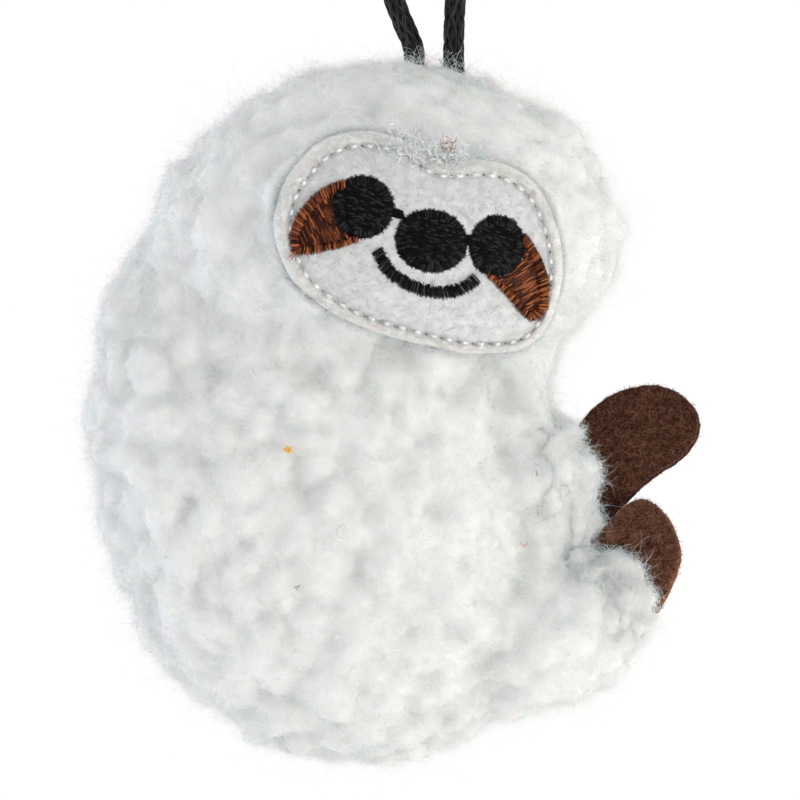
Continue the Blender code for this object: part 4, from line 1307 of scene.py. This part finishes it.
def felt_mat(name, loop, y_mm, way, count, chances, body, random):
    """The loose fibres on a felt paw's face and edge, lighter and darker than the felt."""
    spots = random.uniform(loop.min(axis=0), loop.max(axis=0), (count * 2, 2))
    spots = spots[inside(loop, spots)][:count]
    edge = loop[random.integers(0, len(loop), count // 8)]
    edge = edge + random.normal(0, 0.8, edge.shape)
    from_edge = np.concatenate([gap_to(loop, spots) / PX_PER_MM, np.zeros(len(edge))])
    height = felt_height(from_edge) + 0.02
    roots = seen_at(np.vstack([spots, edge]), y_mm + way * height)
    roots[len(spots):, 1] -= way * random.uniform(0.1, 1.0, len(edge))
    total = len(roots)
    lengths = np.minimum(random.uniform(0.6, 2.2, total), 0.3 + 0.8 * from_edge)
    bends, lift = random.uniform(0.3, 2.6, total), random.uniform(0.02, 0.16, total)
    lines = flat_fibres(roots, way, lengths, bends, lift, random)
    radii = random.uniform(0.016, 0.027, (total, 1)) * FLAT_TAPER
    which = random.choice(3, total, p=chances)
    fibres = [BROWN_FIBRE, LIGHT_BROWN_FIBRE, DARK_BROWN_FIBRE]
    put(tubes(name, lines, radii, 3, fibres, which), body, "brown_felt")


def paw(name, outline_px, front_felt, back_felt, chances, seed):
    """Two layers of felt. The back one is a little larger at its lower right, so its edge shows."""
    random = np.random.default_rng(seed)
    seam_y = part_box(f"{name}_front_felt")[1][1] / MM + 0.15
    shifted = np.array(outline_px, float) + np.array([0.28, 0.3]) * PX_PER_MM
    layers = (
        ("front", -1, outline_px, front_felt, 4600),
        ("back", 1, shifted, back_felt, 2200),
    )
    loops = [
        felt_layer(f"{name}_{side}_layer", outline, seam_y + 0.05 * way, way, felt, name,
                   f"{name}_{side}_felt", random)
        for side, way, outline, felt, _ in layers
    ]
    for loop, (side, way, _, _, count) in zip(loops, layers):
        felt_mat(f"{name}_{side}_fibres", loop, seam_y + 0.05 * way, way, count, chances, name,
                 random)


# A cuff's rows of lumps: mm back from its border, their radius, and how far they may stand out of the
# skin. Within the rise they go up from just over the felt to the height of the skin behind them.
CUFF_ROWS_MM = [
    (1.3, 0.8, 9.0), (2.2, 1.1, 9.0), (3.2, 1.5, 3.0), (4.4, 2.0, 1.4), (5.7, 2.4, 0.8),
    (7.0, 2.8, 0.45), (8.4, 2.8, 0.2), (9.8, 2.8, 0.05),
]
CUFF_RISE_MM = 5.0
OVER_FELT_MM = 1.3
CUFF_COLUMNS = 13
# How wide a cuff is at its ends, as a share of its width in the middle
CUFF_END_SHARE = 0.45
# How far behind the border the skin's height is taken, and where a ray for it starts
CUFF_BEHIND_MM = 7.0
RAY_START_MM = 40.0
LEAST_LUMP_MM = 0.4


def height_at(surface, place, way):
    """How far a surface stands out at a place, to the front where way is -1. None is beside it."""
    hit = surface.ray_cast((place[0], RAY_START_MM * way, place[2]), (0, -way, 0))[0]
    return way * hit[1] if hit else None


def cuff(name, border_px, joint_name, ground, seed):
    """The fleece over a paw's root, level with the skin behind it."""
    random = np.random.default_rng(seed)
    joint = next(j for j in frame["joints"] if j["name"] == joint_name)
    hinge = np.array(joint["pos_m"]) / MM
    outer = unit(np.cross([0.0, -1.0, 0.0], np.array(joint["axis"], float)))
    outer = outer * np.sign(outer[0])
    border = seen_at(evenly(smooth_line(border_px, 8), CUFF_COLUMNS))
    surface = surface_of(ground)
    balls = bmesh.new()
    for way in (-1, 1):
        for number, place in enumerate(border):
            taper = math.sin(math.pi * (number + 0.5) / CUFF_COLUMNS) ** 0.7
            width = CUFF_END_SHARE + (1 - CUFF_END_SHARE) * taper
            behind = height_at(surface, place - outer * CUFF_BEHIND_MM * width, way)
            low_mm = way * hinge[1] + OVER_FELT_MM
            high_mm = max(0.0 if behind is None else behind - 0.1, low_mm)
            for back_off, size, proud_mm in CUFF_ROWS_MM:
                first_mm = CUFF_ROWS_MM[0][0]
                back_off = first_mm + (back_off - first_mm) * width
                middle = place - outer * back_off + random.normal(0, 0.25, 3)
                radius = size * random.uniform(0.8, 1.2)
                rise = math.sin(math.pi / 2 * min(back_off / CUFF_RISE_MM, 1))
                top_mm = low_mm + (high_mm - low_mm) * rise
                here = height_at(surface, middle, way)
                if here is not None:
                    top_mm = min(top_mm, max(here, low_mm) + proud_mm)
                middle[1] = way * (top_mm - radius)
                nearest, normal, _, distance = surface.find_nearest(middle)
                depth_mm = distance * -np.sign((middle - np.array(nearest)) @ np.array(normal))
                radius = min(radius, depth_mm + proud_mm)
                if radius > LEAST_LUMP_MM:
                    found = bmesh.ops.create_icosphere(balls, subdivisions=2, radius=radius)
                    bmesh.ops.translate(balls, verts=found["verts"], vec=middle)
    data = bpy.data.meshes.new(name)
    bmesh.ops.scale(balls, vec=(MM, MM, MM), verts=balls.verts)
    balls.to_mesh(data)
    balls.free()
    made = remeshed(name, data, voxel_mm=0.5, smoothing=5)
    points, normals, _ = read_mesh(made.data)
    lumps = 0.4 * lumpy(points, 4.0, random) + 0.12 * lumpy(points, 2.0, random)
    write_points(made.data, points + lumps[:, None] * normals)
    dressed(made, SHERPA)
    weight = 0.4 + bell(gap_to(border[:, ::2], read_mesh(made.data)[0][:, ::2]), 3.0)
    pieces = [made]
    for kind_name, kind, count, share in (
        ("curled", CURLED, 5000, weight), ("fine", FINE, 7000, weight),
        ("loose", LOOSE, 2600, 1.6 - weight),
    ):
        pieces += grown(f"{name}_{kind_name}_pile", made, kind, count, 1, share, random)
    for piece in pieces:
        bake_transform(piece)


# Inside pieces, floor and light

FLOOR_RADIUS_M = 0.6
FLOOR_DROP_M = 0.25
# The strength of the surroundings' light from the camera's side and from behind the toy
FRONT_LIGHT, BACK_LIGHT = 0.8, 0.96
# The lamps: name, place and size in metres, watts and colour
LAMPS = [
    ("key", (0.5, -0.42, -0.32), 0.25, 1.7, "#FFF9EE"),
    ("rim_left", (-0.55, 0.1, -0.15), 0.3, 1.1, "#DCE6FF"),
    ("rim_right", (0.5, 0.35, -0.2), 0.3, 0.7, "#FFFFFF"),
]


def inside_nodes():
    """The pieces that the fleece hides keep their CAD shape and get their own materials."""
    for name, node in frame["nodes"].items():
        if "seam_thread" in name:
            dressed(node, WHITE_THREAD)
        elif "cord_tail" in name:
            dressed(node, SATIN_CORD)


def floor():
    """A pale floor well below the toy, which fades into the white surroundings."""
    data = bpy.data.meshes.new("floor")
    disc = bmesh.new()
    bmesh.ops.create_circle(disc, cap_ends=True, segments=96, radius=FLOOR_RADIUS_M)
    disc.to_mesh(data)
    disc.free()
    made = linked("floor", data)
    made.location = (VIEW_X_MM * MM, 0, cad_box[0].z - FLOOR_DROP_M)
    material, tree, shader = finish("pale_floor", Roughness=0.9, Specular_IOR_Level=0.1)
    shader.inputs["Base Color"].default_value = linear("#F4F4F3")
    away = add(tree, "ShaderNodeVectorMath", {0: object_place(tree)}, operation="LENGTH")
    fade = add(tree, "ShaderNodeMapRange", {
        "Value": away.outputs["Value"], "From Min": 0.25 * FLOOR_RADIUS_M,
        "From Max": 0.9 * FLOOR_RADIUS_M,
    }, interpolation_type="SMOOTHSTEP")
    white = add(tree, "ShaderNodeEmission", {"Color": (1, 1, 1, 1), "Strength": 1.0})
    mix = add(tree, "ShaderNodeMixShader", {
        0: fade.outputs["Result"], 1: shader.outputs["BSDF"], 2: white.outputs["Emission"],
    })
    tree.links.new(mix.outputs["Shader"], tree.nodes["Material Output"].inputs["Surface"])
    data.materials.append(material)


def world():
    """White to the eye and in reflections. As light it is a softer white, weaker from the front."""
    made = bpy.data.worlds.new("white_studio")
    bpy.context.scene.world = made
    made.use_nodes = True
    tree = made.node_tree
    rays = add(tree, "ShaderNodeLightPath").outputs
    seen = rays["Is Camera Ray"]
    for kind in ("Is Glossy Ray", "Is Transmission Ray"):
        seen = add(tree, "ShaderNodeMath", {0: seen, 1: rays[kind]}, operation="MAXIMUM").outputs[0]
    way = add(tree, "ShaderNodeTexCoord").outputs["Generated"]
    way = add(tree, "ShaderNodeSeparateXYZ", {0: way}).outputs["Y"]
    level = add(tree, "ShaderNodeMapRange", {
        "Value": way, "From Min": -1.0, "From Max": 0.3, "To Min": FRONT_LIGHT, "To Max": BACK_LIGHT,
    })
    strength = add(tree, "ShaderNodeMapRange", {
        "Value": seen, "To Min": level.outputs["Result"], "To Max": 1.0,
    })
    background = tree.nodes["Background"]
    background.inputs["Color"].default_value = (1, 1, 1, 1)
    tree.links.new(strength.outputs["Result"], background.inputs["Strength"])


def lamp(name, place_m, size_m, watts, colour):
    """A round lamp that shines at the middle of the view."""
    data = bpy.data.lights.new(name, "AREA")
    data.shape = "DISK"
    data.size = size_m
    data.energy = watts
    data.color = linear(colour)[:3]
    made = linked(name, data)
    made.location = place_m
    target = Vector((VIEW_X_MM * MM, 0, VIEW_Z_MM * MM))
    made.rotation_euler = (target - Vector(place_m)).to_track_quat("-Z", "Y").to_euler()


bpy.context.scene.view_settings.view_transform = "Standard"
camera()
braided_cord()
fleece = skin()
pile(fleece)
stray_hairs(fleece)
lint(fleece)
stitch_loop = face_felt()
running_stitch(stitch_loop)
for name, values in ROUNDS_PX.items():
    black_round(name, *values)
for name, values in PATCHES_PX.items():
    brown_patch(name, *values)
loose_end()
smile()
face_fibres(stitch_loop)
paw("upper_paw", UPPER_PAW_PX, BROWN_FELT, BROWN_FELT, [0.5, 0.34, 0.16], 41)
# The lower paw's front felt is painted paler: painted light for the light from the lower right
paw("lower_paw", LOWER_PAW_PX, BROWN_FELT_PAINTED_LIGHTER, RUST_FELT, [0.33, 0.45, 0.22], 42)
for paw_name, border_px, seed in (
    ("upper_paw", [(570, 424), (584, 438), (597, 460), (602, 489), (600, 516)], 51),
    ("lower_paw",
     [(590, 549), (611, 549), (629, 554), (641, 562), (646, 576), (650, 592), (654, 612)], 52),
):
    cuff(f"{paw_name}_cuff", border_px, f"{paw_name}_bend", fleece, seed)
inside_nodes()
floor()
world()
for values in LAMPS:
    lamp(*values)
